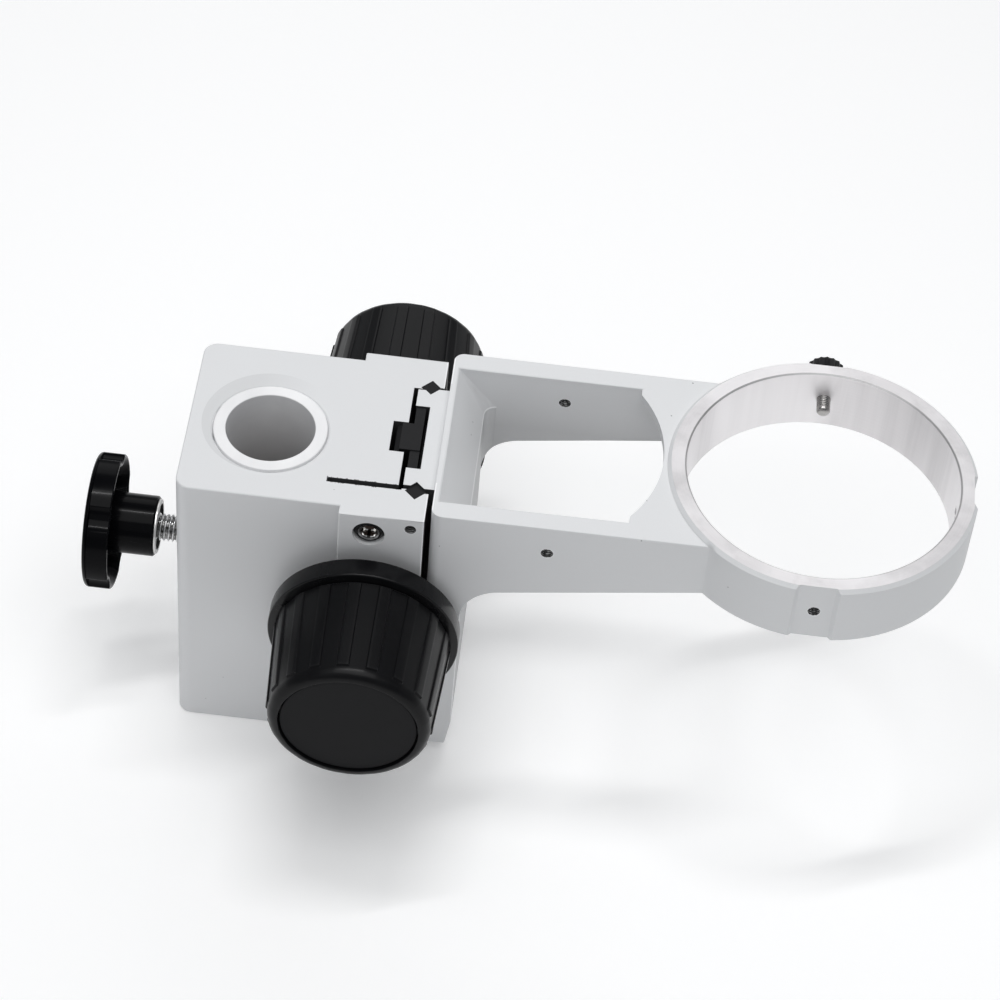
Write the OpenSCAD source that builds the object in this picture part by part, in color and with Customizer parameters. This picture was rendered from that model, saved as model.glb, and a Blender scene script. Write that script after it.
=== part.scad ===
// Focusing stand for a stereo microscope: a housing that clamps on a column, a slide driven by a
// rack and pinion, and an arm with a 76 mm ring that carries the microscope body.
// The origin is on the column axis at the underside of the housing, +Z is up, +X points to the ring.

/* [Column] */
// Diameter of the column that the reducer bush takes
column_d = 25; // [22:0.5:27]
// Outside diameter of the reducer bush
bush_od = 32; // [31:0.5:34]
// How far the bush stands out of the top face
bush_proud = 0.5; // [0.2:0.1:1.5]
// Radial clearance between the bush and the housing
bush_clear = 0.05; // [0.03:0.01:0.1]

/* [Housing] */
// Height of the housing
housing_h = 99; // [94:1:110]
// Wall between the bush and the clamp face
clamp_wall = 7; // [6:0.5:10]
// Width of the housing round the column
rear_w = 56; // [54:1:60]
// Width of the housing at the guide jaws
jaw_w = 62; // [62:1:68]
// Distance from the column axis to the step between the two widths
jaw_start = 22.7; // [20:0.1:24]
// Distance from the column plane to the middle plane of the guide
guide_offset = 2.7; // [0:0.1:4]
// Radius of the upright corners on the clamp side
corner_r = 4; // [2:0.5:6]
// Width of the slit that lets the front jaw flex
slit_w = 1.65; // [1.2:0.05:2]
// Distance from the column axis to the end of the slit
slit_start = 18; // [17.5:0.1:19]

/* [Guide] */
// Width of the guide channel at its bottom
channel_w = 38.6; // [37.6:0.2:39.6]
// Side of the square guide bars
bar_side = 4.2; // [3.8:0.1:4.4]
// Distance from the tongue face to the bar axis
bar_setback = 3.6; // [3.4:0.1:3.8]
// Gap between the tongue face and the bottom of the channel
tongue_gap = 1.3; // [1:0.1:1.6]
// Gap between the housing and the slide plate
face_gap = 1.6; // [1.2:0.1:2]
// Depth of the tongue in front of the slide plate
tongue_depth = 8.9; // [8.6:0.1:9.6]
// Clearance between the bars and the grooves of the tongue
slide_clear = 0.05; // [0.03:0.01:0.08]

/* [Slide and arm] */
// How far the slide stands above the housing at rest
slide_rise = 3.6; // [2:0.2:6]
// Width of the slide plate and the arm
arm_w = 62.4; // [62:0.2:66]
// Thickness of the slide plate
plate_t = 9.9; // [9:0.1:12]
// How far the tongue stops below the top of the arm
tongue_drop = 3; // [2:0.2:5]
// Thickness of the side walls of the arm
arm_wall = 5.7; // [4.5:0.1:7]
// Depth of the arm where it leaves the slide plate
arm_root_h = 30.4; // [28:0.2:34]
// Depth of the arm where it meets the ring
arm_tip_h = 19.7; // [19.2:0.1:22]
// Radius under the arm
arm_fillet_r = 12.5; // [8:0.5:14]
// Distance from the slide plate to the threaded holes in the side walls
side_hole_reach = 22.5; // [16:0.5:30]
// Radius of the round end of the window
window_r = 38; // [36:0.5:40]
// Length of the round end beyond the straight sides of the window
window_bulge = 7.8; // [6:0.2:8.4]
// Wall between the window and the bore of the ring
bridge_wall = 6.2; // [5.4:0.2:9]
// Thickness of the web that joins the arm's top to the ring
web_t = 2.7; // [2:0.1:4]
// Draft of the inner side walls in degrees, wider towards the bottom
wall_draft = 2.8; // [1:0.2:3.6]
// Radius of the inner corners beside the slide plate
inner_corner_r = 3.5; // [2:0.5:5]

/* [Ring] */
// Distance from the column axis to the ring axis
ring_reach = 153.6; // [146:0.2:170]
// Bore of the ring
ring_bore = 76; // [74:0.5:77]
// Outside diameter of the ring
ring_od = 86.4; // [84:0.2:90]
// Height of the ring
ring_h = 20.4; // [18:0.2:24]
// How far the machined rim stands above the arm
ring_proud = 1.3; // [0.8:0.1:1.8]
// Width of the recessed flats at their bottom
flat_w = 10; // [8:0.5:14]
// Depth of the flats in the side of the ring
flat_depth = 1.5; // [1:0.1:2.4]

/* [Rack and pinion] */
// Distance from the bush to the pinion axis
pinion_inset = 15.8; // [15:0.1:18]
// Height of the pinion axis below the top of the housing
pinion_drop = 40.4; // [38:0.2:50]
// Module of the teeth
gear_module = 0.8; // [0.7:0.05:0.85]
// Teeth on the pinion
pinion_teeth = 9; // [9:1:9]
// Width of the rack
rack_w = 10; // [8:0.5:10.6]
// Diameter of the pinion shaft
shaft_d = 8; // [7:0.5:8.2]
// Outside diameter of the shaft bushes
shaft_bush_od = 11; // [10.4:0.2:12]
// Radial clearance of the shaft in its bushes
shaft_clear = 0.03; // [0.02:0.01:0.08]

/* [Focus knobs] */
// Diameter of the knob at its rim
knob_d = 44.8; // [44.6:0.2:46]
// Diameter of the knob at its base
knob_base_d = 48.8; // [47:0.2:50]
// Height of the grip ribs
rib_h = 0.5; // [0.4:0.1:1]
// Number of grip ribs
rib_count = 18; // [12:1:24]
// Length of the knob in front of its collar
knob_len = 32; // [28:0.2:36]
// Radius of the rounded rim
rim_r = 2.9; // [1.6:0.1:3]
// Diameter of the collar behind the knob
collar_d = 53.6; // [52:0.2:56]
// Thickness of the collar
collar_t = 6; // [4:0.1:7]
// Diameter of the cap disc
cap_d = 37.8; // [34:0.2:38]
// Thickness of the flange of the shaft bushes
bush_flange_t = 2.8; // [2.4:0.1:4]
// Thickness of the friction washers
washer_t = 0.6; // [0.4:0.05:0.8]

/* [Column clamp] */
// Height of the clamp screw below the top of the housing
clamp_drop = 46.6; // [40:0.2:52]
// Diameter of the clamp screw
clamp_stud_d = 8; // [6:0.5:8]
// Diameter of the clamp knob
clamp_knob_d = 39.2; // [34:0.2:44]
// Thickness of the rim of the clamp knob
clamp_rim_t = 7.4; // [6:0.2:9]
// Lobes of the clamp knob
clamp_lobes = 5; // [4:1:6]
// Diameter of the hub of the clamp knob
clamp_hub_d = 17.6; // [15:0.2:19]
// Length of the hub
clamp_hub_l = 11.4; // [9:0.2:14]
// Length of bare screw between the hub and the housing
clamp_stand_off = 9.4; // [6:0.2:12]

/* [Ring screw] */
// Diameter of the ring screw
ring_screw_d = 4; // [3:0.5:4]
// Diameter of its head
ring_head_d = 11.2; // [9:0.2:12]
// Length of its head
ring_head_l = 5; // [4:0.2:6]
// Gap between the head and the flat
ring_head_gap = 3.6; // [2:0.1:4.5]
// How far the tip stands inside the bore
ring_tip_in = 5.5; // [1:0.1:6.5]

/* [Hidden] */
$fn = 96;
// Overrun of a cut past the face that it leaves
over = 1;
// Radial clearance of a screw in its thread, and of one that passes through freely
thread_fit = 0.05;
free_fit = 0.1;

// Places along X, from the column axis to the ring
bush_r = bush_od / 2;
clamp_face_x = -(bush_r + clamp_wall);
pinion_x = bush_r + pinion_inset;
pitch_r = gear_module * pinion_teeth / 2;
pitch_line_x = pinion_x + pitch_r;
jaw_screw_x = pinion_x - 0.6;
channel_x = pinion_x + shaft_bush_od / 2 + 0.4;
tongue_x = channel_x + tongue_gap;
bar_x = tongue_x + bar_setback;
plate_x = tongue_x + tongue_depth;
jaw_face_x = plate_x - face_gap;
plate_back_x = plate_x + plate_t;
bulge_end_x = ring_reach - ring_bore / 2 - bridge_wall;
window_end_x = bulge_end_x - window_bulge;
window_centre_x = bulge_end_x - window_r;
ring_bore_r = ring_bore / 2;
arm_taper_end_x = ring_reach - ring_bore_r + 4;
side_hole_x = plate_back_x + side_hole_reach;

// Heights
arm_top_z = housing_h + slide_rise;
plate_foot_z = slide_rise;
tongue_top_z = arm_top_z - tongue_drop;
pinion_z = housing_h - pinion_drop;
clamp_z = housing_h - clamp_drop;
ring_top_z = arm_top_z + ring_proud;
ring_foot_z = ring_top_z - ring_h;
ring_mid_z = ring_top_z - ring_h / 2;
jaw_screw_inset = 7.1;
jaw_head_depth = 5.6;
jaw_screw_grip = 10;
jaw_screw_r = 2.5;
jaw_head_r = 4.25;
bar_screw_inset = 3.3;
bar_screw_r = 1.5;
bar_screw_l = 5;
side_hole_drop = 9.9;
window_low_z = plate_foot_z + arm_root_h / 2;

// Guide
bar_y = channel_w / 2 + 0.5;
jaw_mouth_half = bar_y + 0.5;
tongue_half = channel_w / 2 - 1;
shoulder_half = bar_y - 0.8;
bar_fit = 0.02;
pocket_half = rack_w / 2 + 0.7;
slit_y = channel_w / 2 - slit_w / 2 + 0.5;

// Teeth: short ones with a steep flank, so that nine of them need no undercut
pressure_angle = 25;
addendum = 0.75 * gear_module;
dedendum = gear_module;
backlash = 0.05;
tooth_pitch = PI * gear_module;
base_r = pitch_r * cos(pressure_angle);
pinion_root_r = pitch_r - dedendum;
pinion_tip_r = pitch_r + addendum;
rack_tip_x = pitch_line_x - addendum;
rack_root_x = pitch_line_x + dedendum;
rack_foot_z = plate_foot_z + 1;
rack_top_z = tongue_top_z - 0.1;
pocket_x = rack_tip_x - 1.3;
pinion_half_l = rack_w / 2 + 0.5;
shaft_bush_start = pocket_half + 1;

// Rack and its backing bar in the recess of the tongue
recess_depth = 4.05;
recess_half = 11.9;
seat_gap = 0.05;
rack_bar_half = recess_half - 0.4;
rack_bar_front_x = tongue_x + 0.3;
rack_bar_back_x = tongue_x + recess_depth - seat_gap;
rack_floor_t = 1;
rack_back_x = rack_bar_back_x - rack_floor_t;
rack_bar_top_z = rack_top_z - 0.3;
rack_screw_y = (rack_w / 2 + rack_bar_half) / 2;
rack_screw_z = [rack_foot_z + 12, (rack_foot_z + rack_top_z) / 2, rack_top_z - 14];
rack_screw_l = 6;
rack_screw_r = 1.5;
rack_sink_depth = 1.5;
rack_sink_r = 3.1;

// Knobs, measured outwards from the middle plane of the guide
jaw_half = jaw_w / 2;
arm_half = arm_w / 2;
inner_half = arm_half - arm_wall;
flange_out = jaw_half + bush_flange_t;
washer_out = flange_out + washer_t;
collar_out = washer_out + collar_t;
knob_out = collar_out + knob_len;
flange_r = 9;
knob_wall = 2.6;
knob_hub_r = 9;
cap_t = 1.3;
cap_recess = 1.2;
cap_face = knob_out - cap_recess;
cap_gap = 0.25;
front_wall_in = cap_face - 6.4;
front_wall_out = front_wall_in + 2.8;
shaft_end = front_wall_in - 0.3;
knob_collar_gap = 0.1;
rib_start = collar_out + 0.8;
rib_end = knob_out - rim_r - 0.3;
cap_rim_edge = 0.2;
knob_screw_r = 2;
knob_screw_hole_r = knob_screw_r + free_fit;
knob_screw_pocket_r = 5;
shaft_flat = shaft_d / 2 - 0.7;
knob_screw_grip = 10;
knob_fit = 0.05;
rib_turn = 96;
rib_share = 0.39;

// Column clamp, measured outwards from the column axis along -X
column_r = column_d / 2;
clamp_tip = column_r + 0.5;
pad_t = 2.4;
pad_pin_r = 1.5;
pad_pin_l = 3;
clamp_hub_start = bush_r + clamp_wall + clamp_stand_off;
clamp_rim_start = clamp_hub_start + clamp_hub_l;
clamp_rim_end = clamp_rim_start + clamp_rim_t;
clamp_web = 2.4;
clamp_bore_end = clamp_rim_end - clamp_web - 1;
clamp_skin = 2.7;
notch_r = 5.5;
notch_turn = -41;
notch_depth = 1.9;
insert_r = clamp_hub_d / 2 - 1.4;
insert_proud = 0.6;
insert_wall = 1.6;

// Ring screw, measured outwards from the ring axis along +Y
ring_r = ring_od / 2;
flat_r = ring_r - flat_depth;
rim_face_r = ring_r - 1;
ring_head_start = flat_r + ring_head_gap;
ring_head_end = ring_head_start + ring_head_l;
ring_stud_end = ring_head_end - 1;
tap_r = 1.65;

// Points of an arc about a centre, from one angle to another
function arc(cx, cy, r, a0, a1, steps) =
    [for (i = [0:steps]) let (a = a0 + (a1 - a0) * i / steps) [cx + r * cos(a), cy + r * sin(a)]];

// Involute angle in degrees at a radius, for the base circle of the pinion
function involute(r) = let (a = acos(min(1, base_r / r))) tan(a) * 180 / PI - a;

// Half the angle that a pinion tooth fills at a radius
function tooth_half(r) = 90 / pinion_teeth + involute(pitch_r) - involute(max(r, base_r))
    - backlash / pitch_r * 180 / PI;

// Height of the line under the arm at a place along X
function arm_foot(x) = arm_top_z - arm_root_h
    + (arm_root_h - arm_tip_h) * (x - plate_back_x) / (arm_taper_end_x - plate_back_x);

// A cylinder along +Y, placed from the middle plane of the guide
module along_y(x, z, y0, y1, r) {
    translate([x, guide_offset + y0, z]) rotate([-90, 0, 0]) cylinder(h = y1 - y0, r = r);
}

// A cylinder along -X on the clamp axis, from one distance to another
module along_clamp(d0, d1, r) {
    translate([-d0, 0, clamp_z]) rotate([0, -90, 0]) cylinder(h = d1 - d0, r = r);
}

// Places a piece that is turned about +Z on the axis of the ring screw
module on_ring_screw() {
    translate([ring_reach, guide_offset, ring_mid_z]) rotate([-90, 0, 0]) children();
}

// A block given by its low and high corners, with y from the middle plane of the guide
module block(low, high) {
    translate([low[0], guide_offset + low[1], low[2]]) cube(high - low);
}

// An upright square bar that stands on its edge
module diamond(y, z0, z1, side) {
    translate([bar_x, guide_offset + y, z0]) rotate([0, 0, 45])
        translate([-side / 2, -side / 2, 0]) cube([side, side, z1 - z0]);
}

// Housing
module housing_blank() {
    y0 = guide_offset - rear_w / 2;
    for (y = [y0 + corner_r, y0 + rear_w - corner_r])
        translate([clamp_face_x + corner_r, y, 0]) cylinder(h = housing_h, r = corner_r);
    translate([clamp_face_x, y0 + corner_r, 0])
        cube([corner_r, rear_w - 2 * corner_r, housing_h]);
    translate([clamp_face_x + corner_r, y0, 0])
        cube([jaw_start - clamp_face_x - corner_r, rear_w, housing_h]);
    block([jaw_start, -jaw_half, 0], [jaw_face_x, jaw_half, housing_h]);
}

module guide_channel() {
    low = -over;
    high = housing_h + over;
    block([channel_x, -channel_w / 2, low], [jaw_face_x + over, channel_w / 2, high]);
    block([bar_x, -jaw_mouth_half, low], [jaw_face_x + over, jaw_mouth_half, high]);
    block([pocket_x, -pocket_half, low], [channel_x + over, pocket_half, high]);
    block([slit_start + slit_w / 2, -slit_y - slit_w / 2, low],
        [channel_x + over, -slit_y + slit_w / 2, high]);
    translate([slit_start + slit_w / 2, guide_offset - slit_y, low])
        cylinder(h = high - low, r = slit_w / 2, $fn = 32);
    for (y = [-bar_y, bar_y])
        diamond(y, low, high, bar_side + 2 * bar_fit);
}

module jaw_screw_holes() {
    for (z = [jaw_screw_inset, housing_h - jaw_screw_inset]) {
        along_y(jaw_screw_x, z, -jaw_half - over, -jaw_half + jaw_head_depth, jaw_head_r + 0.25);
        along_y(jaw_screw_x, z, -jaw_half, -slit_y, jaw_screw_r + 2 * free_fit);
        along_y(jaw_screw_x, z, -slit_y, -slit_y + jaw_screw_grip + over, jaw_screw_r + thread_fit);
    }
    for (z = [bar_screw_inset, housing_h - bar_screw_inset])
        along_y(bar_x, z, -jaw_half - over, -bar_y, bar_screw_r + thread_fit);
}

module focus_housing() {
    chamfer = 0.6;
    color("whitesmoke") difference() {
        housing_blank();
        translate([0, 0, -over]) cylinder(h = housing_h + 2 * over, r = bush_r);
        for (z = [housing_h - chamfer, -over])
            translate([0, 0, z]) cylinder(h = chamfer + over, r1 = bush_r + (z < 0 ? chamfer + over : 0),
                r2 = bush_r + (z < 0 ? 0 : chamfer + over));
        guide_channel();
        jaw_screw_holes();
        along_y(pinion_x, pinion_z, -jaw_half - over, jaw_half + over, shaft_bush_od / 2);
        along_clamp(0, bush_r + clamp_wall + over, clamp_stud_d / 2 + thread_fit);
    }
}

module reducer_bush() {
    lip = 0.5;
    edge = 0.3;
    outer_r = bush_r - bush_clear;
    top_z = housing_h + bush_proud;
    color("white") difference() {
        rotate_extrude() polygon([
            [column_r, 0], [outer_r - lip, 0], [outer_r, lip],
            [outer_r, top_z - edge], [outer_r - edge, top_z],
            [column_r + lip, top_z], [column_r, top_z - lip],
        ]);
        along_clamp(0, bush_od, clamp_stud_d / 2 + 0.4);
    }
}

module shaft_bush(side) {
    fit = 0.02;
    color("darkgoldenrod") on_shaft(side) difference() {
        union() {
            translate([0, 0, shaft_bush_start])
                cylinder(h = flange_out - shaft_bush_start, r = shaft_bush_od / 2 - fit);
            translate([0, 0, jaw_half]) cylinder(h = bush_flange_t, r = flange_r);
        }
        cylinder(h = flange_out + over, r = shaft_d / 2 + shaft_clear);
    }
}

module guide_bar(side) {
    color("dimgray") diamond(side * bar_y, 0, housing_h, bar_side);
}

module jaw_screws() {
    head_out = -jaw_half + 0.6;
    head_in = -jaw_half + jaw_head_depth - 0.1;
    socket_r = 2.31;
    socket_depth = 2.6;
    color("silver") for (z = [jaw_screw_inset, housing_h - jaw_screw_inset])
        difference() {
            union() {
                along_y(jaw_screw_x, z, head_out, head_in, jaw_head_r);
                along_y(jaw_screw_x, z, head_in - 0.1, -slit_y + jaw_screw_grip, jaw_screw_r);
            }
            translate([jaw_screw_x, guide_offset + head_out - over, z]) rotate([-90, 0, 0])
                cylinder(h = socket_depth + over, r = socket_r, $fn = 6);
        }
}

module bar_set_screws() {
    tip = bar_y + bar_side / sqrt(2) + 0.1;
    end = tip + bar_screw_l;
    socket_r = 0.87;
    socket_depth = 1.6;
    color("dimgray") for (z = [bar_screw_inset, housing_h - bar_screw_inset])
        difference() {
            along_y(bar_x, z, -end, -tip, bar_screw_r);
            translate([bar_x, guide_offset - end - over, z]) rotate([-90, 0, 0])
                cylinder(h = socket_depth + over, r = socket_r, $fn = 6);
        }
}

// The waste outside an upright rounded corner at the origin; side is the way its Y face looks
module upright_corner(r, side, h) {
    difference() {
        translate([-over, side > 0 ? -r : -over, 0]) cube([r + over, r + over, h]);
        translate([r, -side * r, -over]) cylinder(h = h + 2 * over, r = r);
    }
}

// Slide, arm and ring, one casting
module arm_side_profile() {
    xc = plate_back_x + arm_fillet_r;
    slope = atan2(arm_root_h - arm_tip_h, arm_taper_end_x - plate_back_x);
    zc = arm_foot(xc) - arm_fillet_r / cos(slope);
    xt = xc - arm_fillet_r * sin(slope);
    end_x = ring_reach - ring_bore_r / 2;
    foot_draft = 1.4;
    foot_draft_h = 10;
    difference() {
        polygon([
            [plate_x, plate_foot_z], [plate_back_x - foot_draft, plate_foot_z],
            [plate_back_x, plate_foot_z + foot_draft_h],
            [plate_back_x, zc], [xc, zc], [xt, arm_foot(xt)],
            [end_x, arm_foot(end_x)], [end_x, arm_top_z], [plate_x, arm_top_z],
        ]);
        translate([xc, zc]) circle(r = arm_fillet_r);
    }
}

// The space between the side walls of the arm, wider at the bottom by their draft
module between_walls(x0, x1) {
    low_half = inner_half + (arm_top_z - window_low_z) * tan(wall_draft);
    translate([x0, guide_offset, 0]) rotate([90, 0, 90]) linear_extrude(height = x1 - x0)
        polygon([
            [-low_half, window_low_z], [low_half, window_low_z], [inner_half, arm_top_z],
            [inner_half, arm_top_z + over], [-inner_half, arm_top_z + over], [-inner_half, arm_top_z],
        ]);
}

// Seen from the side, the window leans back over the slide plate and runs hollow under the web
module window_cut() {
    hollow_top_z = arm_top_z - web_t;
    hollow_end_x = ring_reach - ring_bore_r;
    wedge_h = 15.1;
    post_h = arm_top_z - window_low_z - wedge_h;
    difference() {
        intersection() {
            between_walls(plate_x, hollow_end_x);
            translate([0, guide_offset + arm_half, 0]) rotate([90, 0, 0]) linear_extrude(height = arm_w)
                polygon([
                    [plate_x + face_gap, arm_top_z + over], [plate_x + face_gap, arm_top_z],
                    [plate_back_x, arm_top_z - wedge_h], [plate_back_x, window_low_z],
                    [hollow_end_x, window_low_z], [hollow_end_x, hollow_top_z],
                    [window_end_x, hollow_top_z], [window_end_x, arm_top_z + over],
                ]);
        }
        for (side = [-1, 1])
            translate([plate_back_x, guide_offset + side * inner_half, arm_top_z])
                rotate([side * wall_draft, 0, 0]) translate([0, 0, -wedge_h - post_h])
                    upright_corner(inner_corner_r, side, post_h);
    }
    intersection() {
        translate([window_centre_x, guide_offset, window_low_z]) cylinder(h = housing_h, r = window_r);
        block([window_centre_x, -inner_half, hollow_top_z - over],
            [ring_reach, inner_half, arm_top_z + over]);
    }
}

module ring_blank() {
    edge = ring_r - rim_face_r;
    foot_edge = 0.3;
    translate([ring_reach, guide_offset, 0]) rotate_extrude() polygon([
        [ring_bore_r - over, ring_foot_z], [ring_r - foot_edge, ring_foot_z],
        [ring_r, ring_foot_z + foot_edge],
        [ring_r, ring_top_z - edge], [rim_face_r, ring_top_z], [ring_bore_r - over, ring_top_z],
    ]);
}

module ring_cuts() {
    lip = 0.4;
    shoulder = flat_depth + over;
    translate([ring_reach, guide_offset, 0]) {
        rotate_extrude() polygon([
            [0, ring_foot_z - over], [ring_bore_r + lip + over, ring_foot_z - over],
            [ring_bore_r, ring_foot_z + lip], [ring_bore_r, ring_top_z - lip],
            [ring_bore_r + lip + over, ring_top_z + over], [0, ring_top_z + over],
        ]);
        for (turn = [-90, 0, 90]) rotate([0, 0, turn]) {
            translate([0, 0, ring_foot_z - over]) linear_extrude(height = ring_h + 2 * over)
                polygon([
                    [flat_r, -flat_w / 2], [flat_r + shoulder, -flat_w / 2 - shoulder],
                    [flat_r + shoulder, flat_w / 2 + shoulder], [flat_r, flat_w / 2],
                ]);
            translate([ring_bore_r - 2, 0, ring_mid_z]) rotate([0, 90, 0])
                cylinder(h = ring_r, r = turn == 90 ? ring_screw_d / 2 + thread_fit : tap_r);
        }
    }
}

module tongue() {
    block([tongue_x, -tongue_half, plate_foot_z], [bar_x, tongue_half, tongue_top_z]);
    block([bar_x - 0.1, -shoulder_half, plate_foot_z], [plate_x + 0.1, shoulder_half, tongue_top_z]);
}

module tongue_cuts() {
    low = plate_foot_z - over;
    high = tongue_top_z + over;
    block([tongue_x - over, -recess_half, low], [tongue_x + recess_depth, recess_half, high]);
    for (y = [-bar_y, bar_y])
        diamond(y, low, high, bar_side + 2 * slide_clear);
    for (y = [-rack_screw_y, rack_screw_y]) for (z = rack_screw_z)
        translate([tongue_x, guide_offset + y, z]) rotate([0, 90, 0])
            cylinder(h = recess_depth + rack_screw_l, r = rack_screw_r + thread_fit);
}

module arm_casting() {
    plate_corner_r = 3;
    color("whitesmoke") difference() {
        union() {
            difference() {
                translate([0, guide_offset + arm_half, 0]) rotate([90, 0, 0])
                    linear_extrude(height = arm_w) arm_side_profile();
                for (side = [-1, 1])
                    translate([plate_x, guide_offset + side * arm_half, plate_foot_z - over])
                        upright_corner(plate_corner_r, side, housing_h + 2 * over);
                window_cut();
            }
            difference() {
                tongue();
                tongue_cuts();
            }
            ring_blank();
        }
        ring_cuts();
        for (side = [-1, 1])
            along_y(side_hole_x, arm_top_z - side_hole_drop, side * (arm_half - arm_wall / 2) - arm_wall,
                side * (arm_half - arm_wall / 2) + arm_wall, tap_r);
    }
}

// Rack
module rack() {
    half_at_pitch = tooth_pitch / 4 - backlash;
    tip_half = half_at_pitch - addendum * tan(pressure_angle);
    root_half = half_at_pitch + dedendum * tan(pressure_angle);
    first = ceil((rack_foot_z - pinion_z) / tooth_pitch);
    last = floor((rack_top_z - pinion_z) / tooth_pitch) - 1;
    teeth = [for (k = [first:last]) let (z = pinion_z + (k + 0.5) * tooth_pitch)
        each [[rack_root_x, z - root_half], [rack_tip_x, z - tip_half],
            [rack_tip_x, z + tip_half], [rack_root_x, z + root_half]]];
    color("dimgray") translate([0, guide_offset + rack_w / 2, 0]) rotate([90, 0, 0])
        linear_extrude(height = rack_w) polygon(concat(
            [[rack_back_x, rack_foot_z], [rack_root_x, rack_foot_z]], teeth,
            [[rack_root_x, rack_top_z], [rack_back_x, rack_top_z]]));
}

module rack_bar() {
    groove_half = rack_w / 2 + seat_gap;
    relief_h = 6;
    color("dimgray") difference() {
        block([rack_bar_front_x, -rack_bar_half, rack_foot_z],
            [rack_bar_back_x, rack_bar_half, rack_bar_top_z]);
        block([rack_bar_front_x - over, -groove_half, rack_foot_z - over],
            [rack_back_x + seat_gap, groove_half, rack_bar_top_z + over]);
        block([rack_back_x, -rack_bar_half - over, rack_bar_top_z - relief_h],
            [rack_bar_back_x + over, rack_bar_half + over, rack_bar_top_z + over]);
        for (y = [-rack_screw_y, rack_screw_y]) for (z = rack_screw_z)
            translate([rack_bar_front_x, guide_offset + y, z]) rotate([0, 90, 0]) {
                translate([0, 0, -over]) cylinder(h = 2 * recess_depth, r = rack_screw_r + free_fit);
                translate([0, 0, -0.01])
                    cylinder(h = rack_sink_depth, r1 = rack_sink_r, r2 = rack_screw_r + free_fit);
            }
    }
}

module rack_screws() {
    head_h = rack_sink_depth - 0.1;
    socket_r = 1.15;
    socket_depth = 1;
    color("silver") for (y = [-rack_screw_y, rack_screw_y]) for (z = rack_screw_z)
        translate([rack_bar_front_x + 0.1, guide_offset + y, z]) rotate([0, 90, 0]) difference() {
            union() {
                cylinder(h = head_h, r1 = rack_sink_r - 0.25, r2 = rack_screw_r);
                translate([0, 0, head_h - 0.1]) cylinder(h = rack_screw_l + 0.5, r = rack_screw_r);
            }
            translate([0, 0, -over]) cylinder(h = socket_depth + over, r = socket_r, $fn = 6);
        }
}

// Pinion: flanks follow the involute, below the base circle they run straight to the root
module pinion_outline() {
    steps = 4;
    radii = concat([pinion_root_r], [for (i = [0:steps]) base_r + (pinion_tip_r - base_r) * i / steps]);
    count = len(radii);
    polygon([for (k = [0:pinion_teeth - 1]) let (middle = 360 * k / pinion_teeth)
        for (j = [0:2 * count - 1])
            let (rising = j < count, r = radii[rising ? j : 2 * count - 1 - j],
                a = middle + (rising ? -1 : 1) * tooth_half(r))
            [r * cos(a), r * sin(a)]]);
}

module pinion_shaft() {
    shaft_r = shaft_d / 2;
    neck_r = pinion_root_r - 0.05;
    color("silver") difference() {
        union() {
            translate([pinion_x, guide_offset + pinion_half_l, pinion_z]) rotate([90, 0, 0])
                linear_extrude(height = 2 * pinion_half_l) pinion_outline();
            along_y(pinion_x, pinion_z, -shaft_bush_start, shaft_bush_start, neck_r);
            for (side = [-1, 1])
                along_y(pinion_x, pinion_z, side > 0 ? shaft_bush_start - 0.5 : -shaft_end,
                    side > 0 ? shaft_end : 0.5 - shaft_bush_start, shaft_r);
        }
        for (side = [-1, 1]) {
            block([pinion_x + shaft_flat, side > 0 ? collar_out : -shaft_end - over, pinion_z - shaft_d],
                [pinion_x + shaft_d, side > 0 ? shaft_end + over : -collar_out, pinion_z + shaft_d]);
            along_y(pinion_x, pinion_z, side > 0 ? shaft_end - knob_screw_grip - 2 : -shaft_end - over,
                side > 0 ? shaft_end + over : knob_screw_grip + 2 - shaft_end,
                knob_screw_r + thread_fit);
        }
    }
}

// Places a piece that is turned about +Z on the front or back end of the pinion shaft
module on_shaft(side) {
    translate([pinion_x, guide_offset, pinion_z]) rotate([side > 0 ? -90 : 90, 0, 0]) children();
}

module friction_washers() {
    color("white") for (side = [-1, 1]) on_shaft(side) difference() {
        translate([0, 0, flange_out]) cylinder(h = washer_t, r = flange_r);
        cylinder(h = washer_out + over, r = shaft_d / 2 + 0.2);
    }
}

module knob_screws() {
    head_z = front_wall_out + seat_gap;
    start = shaft_end - knob_screw_grip;
    head_h = 1.9;
    head_r = 3.6;
    socket_r = 1.44;
    socket_floor = 0.6;
    color("silver") for (side = [-1, 1]) on_shaft(side) difference() {
        union() {
            translate([0, 0, start]) cylinder(h = head_z - start + over, r = knob_screw_r);
            translate([0, 0, head_z]) cylinder(h = head_h, r = head_r);
        }
        translate([0, 0, head_z + socket_floor]) cylinder(h = head_h, r = socket_r, $fn = 6);
    }
}

module collar(side) {
    edge = 1;
    r = collar_d / 2;
    bore_r = shaft_d / 2 + knob_fit;
    color("black") on_shaft(side) rotate_extrude() polygon([
        [bore_r, washer_out], [r - 0.4, washer_out], [r, washer_out + 0.4],
        [r, collar_out - edge], [r - 0.3 * edge, collar_out - 0.3 * edge], [r - edge, collar_out],
        [bore_r, collar_out],
    ]);
}

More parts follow.
